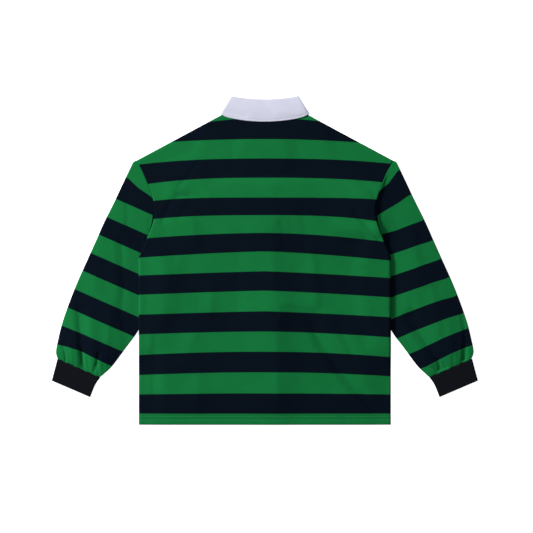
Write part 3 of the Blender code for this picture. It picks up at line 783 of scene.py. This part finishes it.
def rings_through(table, steps):
    """Rings at even steps along the middle line between the two folded edges of a table."""
    middles = (table[:, :2] + table[:, 2:4]) / 2
    return curve_through(np.concatenate([middles, table], axis=1), steps)[:, 2:]


def make_sleeve(name, side, folds, stripes):
    seam = curve_through(ARMHOLE, SEAM_STEPS)[::-1].copy()
    seam[:, 0] -= np.interp(seam[:, 1], SEAM_TUCK_YS, SEAM_TUCKS)
    drop = (seam[:, 1] - seam[0, 1]) / (seam[-1, 1] - seam[0, 1])
    bend = seam[:, 0] - mix(seam[0, 0], seam[-1, 0], drop)

    fine = rings_through(SLEEVE_RINGS, SLEEVE_LENGTH_STEPS)
    places = np.linspace(0.0, 1.0, SLEEVE_RING_STEPS + 1) ** SLEEVE_RING_SPREAD
    columns = [np.interp(places, np.linspace(0.0, 1.0, len(fine)), column)[:, None] for column in fine.T]
    outer_x, outer_y, inner_x, inner_y, armhole, puff, outer_gap, inner_gap = columns
    from_seam = places[:, None]
    width = np.hypot(inner_x - outer_x, inner_y - outer_y)
    even = np.linspace(0.0, 1.0, SLEEVE_ACROSS)
    even = mix(even, 0.5 - 0.5 * np.cos(pi * even), 0.5)
    start = (JERSEY + outer_gap / 2) / width
    end = 1.0 - (JERSEY + inner_gap / 2) / width
    share = mix(start, end, even)
    x = mix(outer_x, inner_x, share) + armhole * np.interp(share, drop, bend)
    y = mix(outer_y, inner_y, share)
    at_joint = smooth((from_seam - STRAY_START) / (1.0 - STRAY_START))
    stray = (JOINT_STRAY - joint_wave(share, side)) * at_joint
    x = x - (inner_y - outer_y)[-1] / width[-1] * stray
    y = y + (inner_x - outer_x)[-1] / width[-1] * stray

    away = np.hypot(np.maximum(x - CHEST / 2, 0.0), tuck_distance(x, y))
    clear = smooth((away - SLEEVE_PUFF_MARGIN) / SLEEVE_PUFF_FADE)
    crown = np.sin(pi * np.clip(share, 0, 1)) ** SLEEVE_CROWN * clear
    creased = fold_height(folds, side * x, y) + ripple_height(side * x, y)
    gather = smooth((1.0 - from_seam) / GATHER_SHARE)
    beside = np.clip(x - armhole_x(y), 0.0, None)
    seam_height = standing(side * x, y) * BACK_PUFF + right_rise(side * x, y)
    fall_away = (1.0 - np.clip(beside / ARMHOLE_SLOPE, 0.0, 1.0)) ** SEAM_FALLS[side]
    if side > 0:
        fall_away = mix(fall_away, 1.0 - smooth(beside / SEAM_STEP_WIDTH), RIGHT_SEAM_STEP)
    lift = SEAM_DROP * seam_height * fall_away * smooth((y - SLEEVE_EMERGES_Y) / SLEEVE_EMERGES_FADE)
    air = mix(outer_gap, inner_gap, share) + crown * (puff + creased * gather)
    air = np.maximum(air + lift, SEAM_GAP)
    air = np.where((x < CHEST / 2) & (y < UNDER_BODY_Y), SEAM_GAP, air)

    low = np.full(x.shape, JERSEY / 2)
    high = 1.5 * JERSEY + air
    lower = np.stack([x, y, low], axis=-1)
    upper = np.stack([x, y, high], axis=-1)
    inner_fold = sleeve_fold(x, y, low, high, from_seam, -1, 1)
    outer_fold = sleeve_fold(x, y, low, high, from_seam, 0, -1)
    points = np.concatenate([lower, inner_fold, upper[:, ::-1], outer_fold[:, ::-1]], axis=1)
    flat = np.stack(on_sleeve(points[..., 0], points[..., 1]), axis=-1)
    count = sleeve_stripe_place(flat[..., 0], flat[..., 1], stripes)
    seam_y = points[:SEAM_LINE_RINGS, :, 1]
    count[:SEAM_LINE_RINGS][(seam_y > SEAM_LINE_LOW_Y) & (seam_y < SEAM_LINE_HIGH_Y)] = NAVY_PLACE
    points[..., 0] *= side
    made = make_cloth(name, JERSEY_CLOTH, points, flat, JERSEY, closed=True, stripes=count)
    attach(made, "root")
    return made


sleeve_left = make_sleeve("sleeve_cloth_left", -1, LEFT_SLEEVE_FOLDS, LEFT_SLEEVE_STRIPES)
sleeve_right = make_sleeve("sleeve_cloth_right", 1, RIGHT_SLEEVE_FOLDS, RIGHT_SLEEVE_STRIPES)
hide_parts("sleeve_left")
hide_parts("sleeve_right")


# Cuffs
# Doubled rib knit in charcoal, folded at the open end and sewn to the gathered end of the sleeve.

RIB_KNIT = 0.0024
CUFF_GAP = 0.0004
RIBS = 36
RIB_HEIGHT = 0.00045

# The x and the y of the outer and of the inner folded edge, from the sleeve to the cuff's open end
CUFF_RINGS = np.array([
    (0.4932, -0.2330, 0.3916, -0.2773),
    (0.4992, -0.2560, 0.4040, -0.2960),
    (0.5067, -0.2839, 0.4150, -0.3232),
])
CUFF_RING_STEPS = 26
CUFF_ACROSS = RIBS * 6 + 1
CUFF_FOLD_STEPS = 8
CUFF_TURN_STEPS = 6
CUFF_LENGTH = 0.11
CUFF_SKIN = 0.0002
CUFF_LINING = RIB_KNIT - 0.0001
JOINT_FADE = 0.35
CHARCOAL = (0.0072, 0.0086, 0.0124)
# Charcoal darkened as painted shade, for the grooves between the ribs
PAINTED_GROOVE_SHADE = (0.0034, 0.0041, 0.0062)


def rib_material():
    """Charcoal rib knit, with painted shade darkening the grooves between its ribs."""
    material, tree, shader = new_material("Charcoal rib", {
        "Roughness": 0.95, "Specular IOR Level": 0.05, "Sheen Weight": 0.01, "Sheen Roughness": 0.5})
    across = split_place(tree, flat_place(tree))[0]
    crest = calculate(tree, across, ("MULTIPLY", pi * RIBS), ("SINE",), ("ABSOLUTE",))
    # Painted shade: the colour darkens from the ribs' crests into the grooves between them.
    ribs = blend_colours(tree, crest, PAINTED_GROOVE_SHADE, CHARCOAL)
    link(tree, mottle_colour(tree, ribs, patches=0.20, flecks=0.60), shader.inputs["Base Color"])
    knit = place_group(tree, KNIT, Place=solid_place(tree), Wale=0.0014, Course=0.0012)
    raise_surface(tree, shader, knit, strength=0.4, distance=0.0004)
    return material


RIB_CLOTH = rib_material()


def cuff_loop(outer, inner, stray, reach, rib_share):
    """A loop round a cuff between its outer and its inner edge, reach in from its outline."""
    even = np.linspace(0.0, 1.0, CUFF_ACROSS)
    ribs = RIB_HEIGHT * np.sin(pi * RIBS * even) ** 2
    bend = RIB_KNIT + CUFF_GAP / 2
    radius = bend - reach
    along = (inner - outer) / np.hypot(*(inner - outer))
    near_edge = outer + along * bend
    far_edge = inner - along * bend
    level = near_edge + (far_edge - near_edge) * even[:, None] + stray[:, None] * (along[1], -along[0])
    angles = pi * np.arange(1, CUFF_FOLD_STEPS) / CUFF_FOLD_STEPS
    out = along * (radius * np.sin(angles))[:, None]
    rise = bend - radius * np.cos(angles)
    lower = np.column_stack([level, np.full(CUFF_ACROSS, reach)])
    right = np.column_stack([far_edge + out, rise])
    upper = np.column_stack([level, 2 * bend - reach + rib_share * ribs])
    left = np.column_stack([near_edge - out, rise])
    return np.concatenate([lower, right, upper[::-1], left[::-1]])


def make_cuff(name, side):
    rings = rings_through(CUFF_RINGS, CUFF_RING_STEPS)
    joint = 1.0 - smooth(np.linspace(0, 1, len(rings)) / JOINT_FADE)
    even = np.linspace(0.0, 1.0, CUFF_ACROSS)
    strays = joint[:, None] * joint_wave(even, side)
    plain = np.zeros(CUFF_ACROSS)
    loops = [cuff_loop(ring[:2], ring[2:], stray, 0.0, 1.0) for ring, stray in zip(rings, strays)]
    down = rings[-1] - rings[-2]
    down /= np.hypot(*down[:2])
    for angle in np.linspace(0.0, pi, CUFF_TURN_STEPS + 1)[1:]:
        ring = rings[-1] + down * (RIB_KNIT / 2 * np.sin(angle))
        reach = RIB_KNIT / 2 * (1.0 - np.cos(angle))
        loops.append(cuff_loop(ring[:2], ring[2:], plain, reach, max(np.cos(angle), 0.0)))
    for ring, stray in zip(rings[::-3], strays[::-3]):
        loops.append(cuff_loop(ring[:2], ring[2:], stray, CUFF_LINING, 0.0))
    points = np.stack(loops)
    points[..., 0] *= side
    fold = np.ones(CUFF_FOLD_STEPS - 1)
    across = np.concatenate([even, fold, even[::-1], 0.0 * fold])
    flat = np.stack(np.meshgrid(across, np.linspace(0.0, CUFF_LENGTH, len(points))), axis=-1)
    made = make_cloth(name, RIB_CLOTH, points, flat, CUFF_SKIN, closed=True)
    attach(made, "root")
    return made


cuff_left = make_cuff("cuff_cloth_left", -1)
cuff_right = make_cuff("cuff_cloth_right", 1)
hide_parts("cuff_left")
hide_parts("cuff_right")


# Collar
# White cotton twill in two parts. The stand is sewn round the neck, and the fall turns over it and
# ends at the front in two points. A row of stitching runs five millimetres inside the fall's edge.

TWILL = 0.0015
STAND_TWILL = 0.0012
TOP_CORNER = (0.0808, 0.3905)
SIDE_CORNER = (0.1062, 0.3500)
LEAF_POINT = (0.0640, 0.2500)
ROLL_FRONT = (0.0020, 0.3030)
ROLL_BACK_Y = 0.3827
FALL_BACK_Y = 0.3304
FALL_SIDE_Y = 0.3447
FALL_CORNER_POWER = 14
ROLL_BULGE = 0.015
STAND_SIDE_CORNER = (0.0896, 0.3540)
STAND_TOP_CORNER = (0.0750, 0.3890)
STAND_SEAM_SHIFT = 0.00045
FALL_ROWS = 26
STAND_ROWS = 8
COLLAR_FRONT_STEPS = 36
COLLAR_BACK_STEPS = 60
COLLAR_FOLD_STEPS = 10
ROLL_ROWS = 5
FALL_CROWN = 0.0013
FALL_LENGTH = 0.46
FALL_WIDTH = 0.06
STAND_LENGTH = 0.44
STAND_WIDTH = 0.03
STAND_TOP_SHARE = 0.97
ROLL_REACH = 0.0011
ROLL_MARGIN = 0.0002
SIDE_FOLD = 0.0006
TWILL_LINE = 0.0011
STAND_LOW = NECK_LIFT + STAND_TWILL / 2
STAND_HIGH = STAND_LOW + JERSEY + SEAM_GAP + NECK_PUFF
FALL_LOW = TWILL / 2
FALL_HIGH = STAND_HIGH + STAND_TWILL / 2 + SEAM_GAP + TWILL / 2
WHITE = (0.668, 0.678, 0.812)

# Where the stitching and the last rows of points lie, as shares of the way from the fall's roll to its
# edge, and the groove that the stitching pulls
STITCH_SHARE = 0.905
STITCH_MARGIN = 0.02
STITCH_GROOVE = 0.0003
STITCH_GROOVE_SHARE = 0.045
EDGE_SHARES = (0.975, 1.0)

COLLAR_FOLDS = creases(
    (((-92, 353), (-50, 343)), 7, 12, -0.7),
    (((-70, 372), (-30, 352)), 18, 20, 0.5),
    (((-2, 376), (16, 356)), 18, 14, -0.5),
    (((30, 352), (80, 349)), 10, 14, 0.4),
    (((50, 376), (72, 362)), 12, 12, -0.4),
)


def twill_material():
    """White twill with fine slanting lines, a touch uneven in its whiteness."""
    material, tree, shader = new_material("White twill", {
        "Roughness": 0.85, "Specular IOR Level": 0.25, "Sheen Weight": 0.05, "Sheen Roughness": 0.4})
    x, y, _ = split_place(tree, solid_place(tree))
    height = calculate(
        tree, x, ("ADD", y), ("MULTIPLY", 2 * pi / TWILL_LINE), ("SINE",), ("MULTIPLY", 0.5), ("ADD", 0.5))
    link(tree, mottle_colour(tree, WHITE, patches=0.10, flecks=0.06), shader.inputs["Base Color"])
    raise_surface(tree, shader, height, strength=0.25, distance=0.0003)
    return material


TWILL_CLOTH = twill_material()


def flat_grid(points, length, width):
    """Even places on the flat cloth for rows of points."""
    rows, columns = points.shape[:2]
    return np.stack(np.meshgrid(np.linspace(0.0, length, columns), np.linspace(0.0, width, rows)), axis=-1)


def roll_y(x):
    return mix(ROLL_BACK_Y, TOP_CORNER[1], (x / TOP_CORNER[0]) ** 2)


def roll_front(t, flat_x, side_y):
    bulge = ROLL_BULGE * np.sin(pi * t)
    x, y = ROLL_FRONT
    return np.stack([mix(x, flat_x, t) + bulge, mix(y, side_y, t) - bulge], axis=-1)


def fall_edge_y(x):
    return mix(FALL_BACK_Y, FALL_SIDE_Y, (x / SIDE_CORNER[0]) ** 2)


def collar_row(front_points, corner, back_line, low_z, high_z, thickness):
    """One row round the collar, from one front end round the back to the other."""
    radius = (high_z - low_z) / 2
    side_x = corner[0] - thickness / 2 - SIDE_FOLD
    t = np.arange(COLLAR_FRONT_STEPS) / COLLAR_FRONT_STEPS
    first = np.column_stack([front_points(t, side_x), np.full(len(t), low_z)])
    angle = pi * np.arange(COLLAR_FOLD_STEPS + 1) / COLLAR_FOLD_STEPS
    fold_x = side_x + SIDE_FOLD * np.sin(angle)
    fold_z = (low_z + high_z) / 2 - radius * np.cos(angle)
    side = np.column_stack([fold_x, np.full(len(angle), corner[1]), fold_z])
    x = side_x * (1.0 - np.arange(1, COLLAR_BACK_STEPS // 2) / (COLLAR_BACK_STEPS // 2))
    rest = np.column_stack([x, back_line(x, side_x), np.full(len(x), high_z)])
    half = np.concatenate([first, side, rest])
    middle = [[0.0, back_line(0.0, side_x), high_z]]
    return np.concatenate([half, middle, (half * (-1, 1, 1))[::-1]])


def fall_row(down):
    corner = mix(np.array(TOP_CORNER), np.array(SIDE_CORNER), down)

    def front_points(t, flat_x):
        roll = roll_front(t, flat_x, corner[1])
        leaf_edge = mix(np.array(LEAF_POINT), np.array([flat_x, corner[1]]), t[:, None])
        return mix(roll, leaf_edge, down)

    def back_line(x, flat_x):
        plain = mix(roll_y(x), fall_edge_y(x), down)
        plain_side = mix(roll_y(flat_x), fall_edge_y(flat_x), down)
        return plain + (corner[1] - plain_side) * (x / flat_x) ** FALL_CORNER_POWER

    return collar_row(front_points, corner, back_line, FALL_LOW, FALL_HIGH, TWILL)


def creased_fall_row(down):
    """A row of the fall as creased, crowned and stitched, and the share of each point at the back."""
    row = fall_row(down)
    at_back = smooth((row[:, 2] - FALL_LOW) / (FALL_HIGH - FALL_LOW))
    crown = FALL_CROWN * np.sin(pi * down) + fold_height(COLLAR_FOLDS, row[:, 0], row[:, 1])
    groove = STITCH_GROOVE * (1.0 - smooth(abs(down - STITCH_SHARE) / STITCH_GROOVE_SHARE))
    row[:, 2] += at_back * (crown - groove)
    return row, at_back


stitch_rows = STITCH_SHARE + STITCH_GROOVE_SHARE * np.linspace(-1.0, 1.0, 7)
plain_rows = np.linspace(0.0, stitch_rows[0] - STITCH_MARGIN, FALL_ROWS)
fall_rows = [creased_fall_row(down)[0] for down in (*plain_rows, *stitch_rows, *EDGE_SHARES)]
roll_start = fall_rows[0]
beyond = roll_start - fall_rows[2]
beyond[:, 2] = 0.0
beyond /= np.maximum(np.hypot(beyond[:, 0], beyond[:, 1]), 1e-6)[:, None]
above_middle = roll_start[:, 2] > (STAND_HIGH + STAND_LOW) / 2
drop = roll_start[:, 2] - np.where(above_middle, STAND_HIGH + ROLL_MARGIN, STAND_LOW - ROLL_MARGIN)
turned = []
for step in range(ROLL_ROWS, 0, -1):
    angle = pi / 2 * step / ROLL_ROWS
    row = roll_start + beyond * (ROLL_REACH * np.sin(angle))
    row[:, 2] -= drop * (1.0 - np.cos(angle))
    turned.append(row)
fall_points = np.stack(turned + fall_rows)
fall = make_cloth(
    "collar_fall_cloth", TWILL_CLOTH, fall_points, flat_grid(fall_points, FALL_LENGTH, FALL_WIDTH), TWILL)
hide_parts("collar_fall")
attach(fall, "root")


def neck_seam_y(x, middle_y):
    return mix(middle_y, NECK_POINT[1], (x / NECK_POINT[0]) ** NECK_ROUNDNESS) + STAND_SEAM_SHIFT


def stand_row(up):
    corner = mix(np.array(STAND_SIDE_CORNER), np.array(STAND_TOP_CORNER), up)

    def front_points(t, flat_x):
        x = mix(ROLL_FRONT[0], flat_x, t)
        low = np.stack([x, neck_seam_y(x, FRONT_NECK_Y)], axis=-1)
        return mix(low, roll_front(t, flat_x, corner[1]), up)

    def back_line(x, flat_x):
        return mix(neck_seam_y(x, BACK_NECK_Y), roll_y(x), up)

    return collar_row(front_points, corner, back_line, STAND_LOW, STAND_HIGH, STAND_TWILL)


stand_rows = [stand_row(up) for up in np.linspace(0.0, STAND_TOP_SHARE, STAND_ROWS + 1)]
stand_points = np.stack(stand_rows)
stand_flat = flat_grid(stand_points, STAND_LENGTH, STAND_WIDTH)
stand = make_cloth("collar_stand_cloth", TWILL_CLOTH, stand_points, stand_flat, STAND_TWILL)
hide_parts("collar_stand")
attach(stand, "root")


# Placket
# Two strips of navy jersey in the slit of the front. The outer one has the buttonholes and lies
# against the floor side, the other one lies inside it and carries the buttons.

STRIP_BOTTOM_Y = PLACKET_FOOT_Y + SEAM_GAP
STRIP_TOP_Y = FRONT_NECK_Y - SEAM_GAP
STRIP_COLUMNS = 25
STRIP_ROWS = 90
STRIP_JERSEY = JERSEY - 0.0002
STRIP_SEAM = 0.0025
STRIP_SEAM_WIDTH = 0.0016
STRIP_PULL = 0.0002


def make_strip(name, low_z, pull):
    across = np.linspace(-1.0, 1.0, STRIP_COLUMNS)
    ys = np.linspace(STRIP_BOTTOM_Y, STRIP_TOP_Y, STRIP_ROWS)
    x, y = np.meshgrid(across * PLACKET_WIDTH / 2, ys)
    seam = 1.0 - smooth(abs(abs(x) - PLACKET_WIDTH / 2 + STRIP_SEAM) / STRIP_SEAM_WIDTH)
    points = np.stack([x, y, low_z + JERSEY / 2 + pull * seam], axis=-1)
    navy = np.full(x.shape, NAVY_PLACE)
    made = make_cloth(name, JERSEY_CLOTH, points, points[..., :2], STRIP_JERSEY, stripes=navy)
    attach(made, "root")
    return made


strip_upper = make_strip("placket_cloth_upper", NECK_LIFT, STRIP_PULL)
strip_under = make_strip("placket_cloth_under", NECK_LIFT + JERSEY + SEAM_GAP, 0.0)
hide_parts("placket_upper")
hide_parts("placket_under")


# Stitching
# Twin rows of thread hold up the hem. One row runs inside the fall's edge, and one round the placket.

THREAD = 0.00028
THREAD_SIDES = 5
THREAD_SINK = 0.6
SEWN_LIFT = 0.0003
STITCH_PLACES = np.array([0.0, 0.2, 0.5, 0.8, 1.0])
STITCH_SIZES = np.array([0.35, 0.9, 1.0, 0.9, 0.35])
HEM_THREAD_MARGIN = 0.003
SEWN_FOOT_MARGIN = 0.003
SEWN_TOP_MARGIN = 0.002

# How long a stitch is, and the gap to the next one
HEM_SEWING = (0.0030, 0.0009)
COLLAR_SEWING = (0.0024, 0.0008)
PLACKET_SEWING = (0.0026, 0.0009)

GREEN_SEWN = (0.0060, 0.1150, 0.0300)
WHITE_SEWN = (0.560, 0.570, 0.700)
NAVY_SEWN = (0.0050, 0.0120, 0.0230)


def thread_material(name, colour):
    material, tree, shader = new_material(name, {"Roughness": 0.6})
    link(tree, mottle_colour(tree, colour, patches=0.15, flecks=0.5), shader.inputs["Base Color"])
    return material


def sew(name, path, sewing, material, radius=THREAD):
    """Separate stitches along a path, each a short rounded length of thread."""
    length, gap = sewing
    gone = np.concatenate([[0.0], np.cumsum(np.linalg.norm(np.diff(path, axis=0), axis=1))])
    turns = 2 * pi * np.arange(THREAD_SIDES) / THREAD_SIDES
    sizes = radius * STITCH_SIZES[:, None, None]
    sinks = np.where(STITCH_SIZES < 0.5, -THREAD_SINK * radius, 0.0)[:, None, None]
    index = np.arange(len(STITCH_SIZES) * THREAD_SIDES).reshape(-1, THREAD_SIDES)
    beside = np.roll(index, -1, axis=1)
    sides = np.stack([index[:-1], beside[:-1], beside[1:], index[1:]], axis=-1).reshape(-1, 4)
    shape = [*sides.tolist(), index[0, ::-1].tolist(), index[-1].tolist()]
    points = []
    faces = []
    for number in range(int(gone[-1] / (length + gap))):
        places = number * (length + gap) + gap / 2 + STITCH_PLACES * length
        middle = np.stack([np.interp(places, gone, column) for column in path.T], axis=1)
        run = middle[-1] - middle[0]
        run /= np.linalg.norm(run)
        side = np.cross(run, (0.0, 0.0, 1.0))
        side /= np.linalg.norm(side)
        up = np.cross(side, run)
        round_it = side * (sizes * np.cos(turns)[:, None]) + up * (sizes * np.sin(turns)[:, None] + sinks)
        faces += [[corner + len(points) for corner in face] for face in shape]
        points += (middle[:, None] + round_it).reshape(-1, 3).tolist()
    mesh = bpy.data.meshes.new(name)
    mesh.from_pydata(points, [], faces)
    mesh.shade_smooth()
    mesh.materials.append(material)
    made = add_object(name, mesh)
    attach(made, "root")


GREEN_THREAD = thread_material("Green thread", GREEN_SEWN)
WHITE_THREAD = thread_material("White thread", WHITE_SEWN)
NAVY_THREAD = thread_material("Navy thread", NAVY_SEWN)

for number, row_y in enumerate(HEM_STITCH_YS, start=1):
    x = np.linspace(-CHEST / 2 + HEM_THREAD_MARGIN, CHEST / 2 - HEM_THREAD_MARGIN, 300)
    y = np.full(x.shape, row_y)
    top = back_height(x, y, np.full(x.shape, CHEST / 2)) + JERSEY / 2 + THREAD * 0.3
    bottom = front_height(x, y) - JERSEY / 2 + THREAD
    for panel, z in (("back", top), ("front", bottom)):
        row = np.column_stack([x, y, z])
        sew(f"hem_stitches_{panel}_{number}", row, HEM_SEWING, GREEN_THREAD)

fall_seam, at_back = creased_fall_row(STITCH_SHARE)
fall_seam[:, 2] += np.where(at_back > 0.5, TWILL / 2 + THREAD * 0.2, -TWILL / 2 + THREAD * 0.8)
at_front = COLLAR_FRONT_STEPS + COLLAR_FOLD_STEPS
sew("collar_stitches", fall_seam[at_front:-at_front], COLLAR_SEWING, WHITE_THREAD)

seam_x = PLACKET_WIDTH / 2 - STRIP_SEAM
seam_top = STRIP_TOP_Y - SEWN_TOP_MARGIN
seam_foot = STRIP_BOTTOM_Y + SEWN_FOOT_MARGIN
corners = [(-seam_x, seam_top), (-seam_x, seam_foot), (seam_x, seam_foot), (seam_x, seam_top)]
placket_seam = np.array([(x, y, NECK_LIFT + SEWN_LIFT) for x, y in corners])
sew("placket_stitches", placket_seam, PLACKET_SEWING, NAVY_THREAD)


# Buttonholes
# Three slots up the placket, each edged with close stitches.

BUTTON_YS = (0.2620, 0.2050, 0.1480)
HOLE_SEWING = (0.0007, 0.0001)
HOLE_THREAD = 0.0004
HOLE_LENGTH = 0.0135
HOLE_WIDTH = 0.0022
HOLE_ROUNDNESS = 0.5

turn = np.linspace(0.0, 2 * pi, 60)
across = np.sign(np.cos(turn)) * abs(np.cos(turn)) ** HOLE_ROUNDNESS
for number, y in enumerate(BUTTON_YS, start=1):
    z = np.full(len(turn), NECK_LIFT + HOLE_THREAD / 2)
    edge = np.column_stack([HOLE_WIDTH / 2 * across, y + HOLE_LENGTH / 2 * np.sin(turn), z])
    sew(f"buttonhole_{number}", edge, HOLE_SEWING, NAVY_THREAD, HOLE_THREAD)


# Buttons
# White resin, 11.5 mm across, with a rim, a dished face and four holes, sewn on with thread.

BUTTON_SIDES = 48
HOLE_SIDES = 16
BUTTON_HOLE = 0.00085
BUTTON_HOLE_PLACE = 0.000845
BUTTON_SEWING = (0.0022, 0.0001)
BUTTON_THREAD = 0.0002
CROSS_HEIGHTS = (0.0006, 0.0007)
RESIN_WHITE = (0.76, 0.75, 0.71)

# Radius and height of the button's outline in millimetres, from the middle of its outer face, which
# lies downwards, to the middle of its inner face
BUTTON_OUTLINE = (
    (0.0, 0.7), (2.6, 0.7), (3.3, 0.6), (3.9, 0.2), (4.4, 0.0), (5.1, 0.1),
    (5.6, 0.5), (5.75, 1.0), (5.6, 1.6), (5.1, 2.1), (4.2, 2.4), (0.0, 2.4),
)


def button_material():
    material, tree, shader = new_material("White resin", {"Roughness": 0.28, "Coat Weight": 0.25})
    link(tree, mottle_colour(tree, RESIN_WHITE, patches=0.10, flecks=0.05), shader.inputs["Base Color"])
    return material


def turned_button():
    """The button's outline turned round its middle."""
    shape = bmesh.new()
    loops = []
    for radius, height in BUTTON_OUTLINE:
        angles = 2 * pi * np.arange(BUTTON_SIDES if radius else 1) / BUTTON_SIDES
        places = [(radius * np.cos(angle) / 1000, radius * np.sin(angle) / 1000) for angle in angles]
        loops.append([shape.verts.new((*place, height / 1000)) for place in places])
    for first, second in zip(loops, loops[1:]):
        for turn in range(BUTTON_SIDES):
            beside = (turn + 1) % BUTTON_SIDES
            corners = [first[turn % len(first)], first[beside % len(first)],
                       second[beside % len(second)], second[turn % len(second)]]
            shape.faces.new(list(dict.fromkeys(corners)))
    bmesh.ops.recalc_face_normals(shape, faces=shape.faces[:])
    return shape


def four_holes():
    """The pins that cut the button's holes."""
    shape = bmesh.new()
    for x, y in ((-1, -1), (-1, 1), (1, -1), (1, 1)):
        pin = bmesh.ops.create_cone(
            shape, cap_ends=True, segments=HOLE_SIDES, depth=4 * BUTTON_THICKNESS,
            radius1=BUTTON_HOLE / 2, radius2=BUTTON_HOLE / 2)
        place = (x * BUTTON_HOLE_PLACE, y * BUTTON_HOLE_PLACE, 0.0)
        bmesh.ops.translate(shape, verts=pin["verts"], vec=place)
    return shape


def add_shape(name, shape):
    mesh = bpy.data.meshes.new(name)
    shape.to_mesh(mesh)
    shape.free()
    mesh.shade_smooth()
    return add_object(name, mesh)


RESIN = button_material()
for number, y in enumerate(BUTTON_YS, start=1):
    button = add_shape(f"button_resin_{number}", turned_button())
    button.data.materials.append(RESIN)
    pins = add_shape("Holes", four_holes())
    holes = button.modifiers.new("Holes", "BOOLEAN")
    holes.object = pins
    holes.operation = "DIFFERENCE"
    graph = bpy.context.evaluated_depsgraph_get()
    button.data = bpy.data.meshes.new_from_object(button.evaluated_get(graph))
    button.modifiers.clear()
    bpy.data.objects.remove(pins, do_unlink=True)
    button.location = (0.0, y, 0.0)
    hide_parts(f"button_{number}")
    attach(button, "root")
    for letter, turn, z in zip("ab", (1, -1), CROSS_HEIGHTS):
        reach = BUTTON_HOLE_PLACE
        thread = np.array([(-reach, y - turn * reach, z), (reach, y + turn * reach, z)])
        name = f"button_thread_{number}_{letter}"
        sew(name, thread, BUTTON_SEWING, WHITE_THREAD, BUTTON_THREAD)


# Stage
# A white floor, a large soft light from the upper left, a fill from above, and a camera straight over
# the shirt at the photograph's framing.

FLOOR_REACH = 6.0
floor_corners = [(x * FLOOR_REACH, y * FLOOR_REACH, 0.0)
                 for x, y in ((-1, -1), (1, -1), (1, 1), (-1, 1))]
floor_mesh = bpy.data.meshes.new("Floor")
floor_mesh.from_pydata(floor_corners, [], [(0, 1, 2, 3)])
floor = add_object("Floor", floor_mesh)
floor_mesh.materials.append(new_material("White floor", {
    "Base Color": (0.90, 0.90, 0.90, 1.0), "Roughness": 0.9, "Specular IOR Level": 0.0,
    "Emission Color": (1.0, 1.0, 1.0, 1.0), "Emission Strength": 0.85})[0])

Lamp = namedtuple("Lamp", "name place size power")
LAMPS = [
    Lamp("Key", (-5.50, 3.2, 2.70), 1.3, 790.0),
    Lamp("Fill", (0.6, -0.4, 3.9), 3.0, 24.0),
]
for lamp in LAMPS:
    light = bpy.data.lights.new(lamp.name, "AREA")
    light.shape = "SQUARE"
    light.size = lamp.size
    light.energy = lamp.power
    lamp_object = add_object(lamp.name, light)
    lamp_object.location = lamp.place
    lamp_object.rotation_euler = (-Vector(lamp.place)).to_track_quat("-Z", "Y").to_euler()

world = bpy.data.worlds.new("Room")
world.use_nodes = True
set_inputs(world.node_tree.nodes["Background"], {"Color": (1.0, 1.0, 1.0, 1.0), "Strength": 0.155})
bpy.context.scene.world = world

CAMERA_MIDDLE = (0.0040, -0.0137)
VIEW_WIDTH = 1.269
LENS = 100.0
SENSOR = 36.0
camera_data = bpy.data.cameras.new("Camera")
camera_data.lens = LENS
camera_data.sensor_width = SENSOR
camera_data.clip_end = 50.0
camera = add_object("Camera", camera_data)
camera.location = (*CAMERA_MIDDLE, VIEW_WIDTH * LENS / SENSOR)
bpy.context.scene.camera = camera
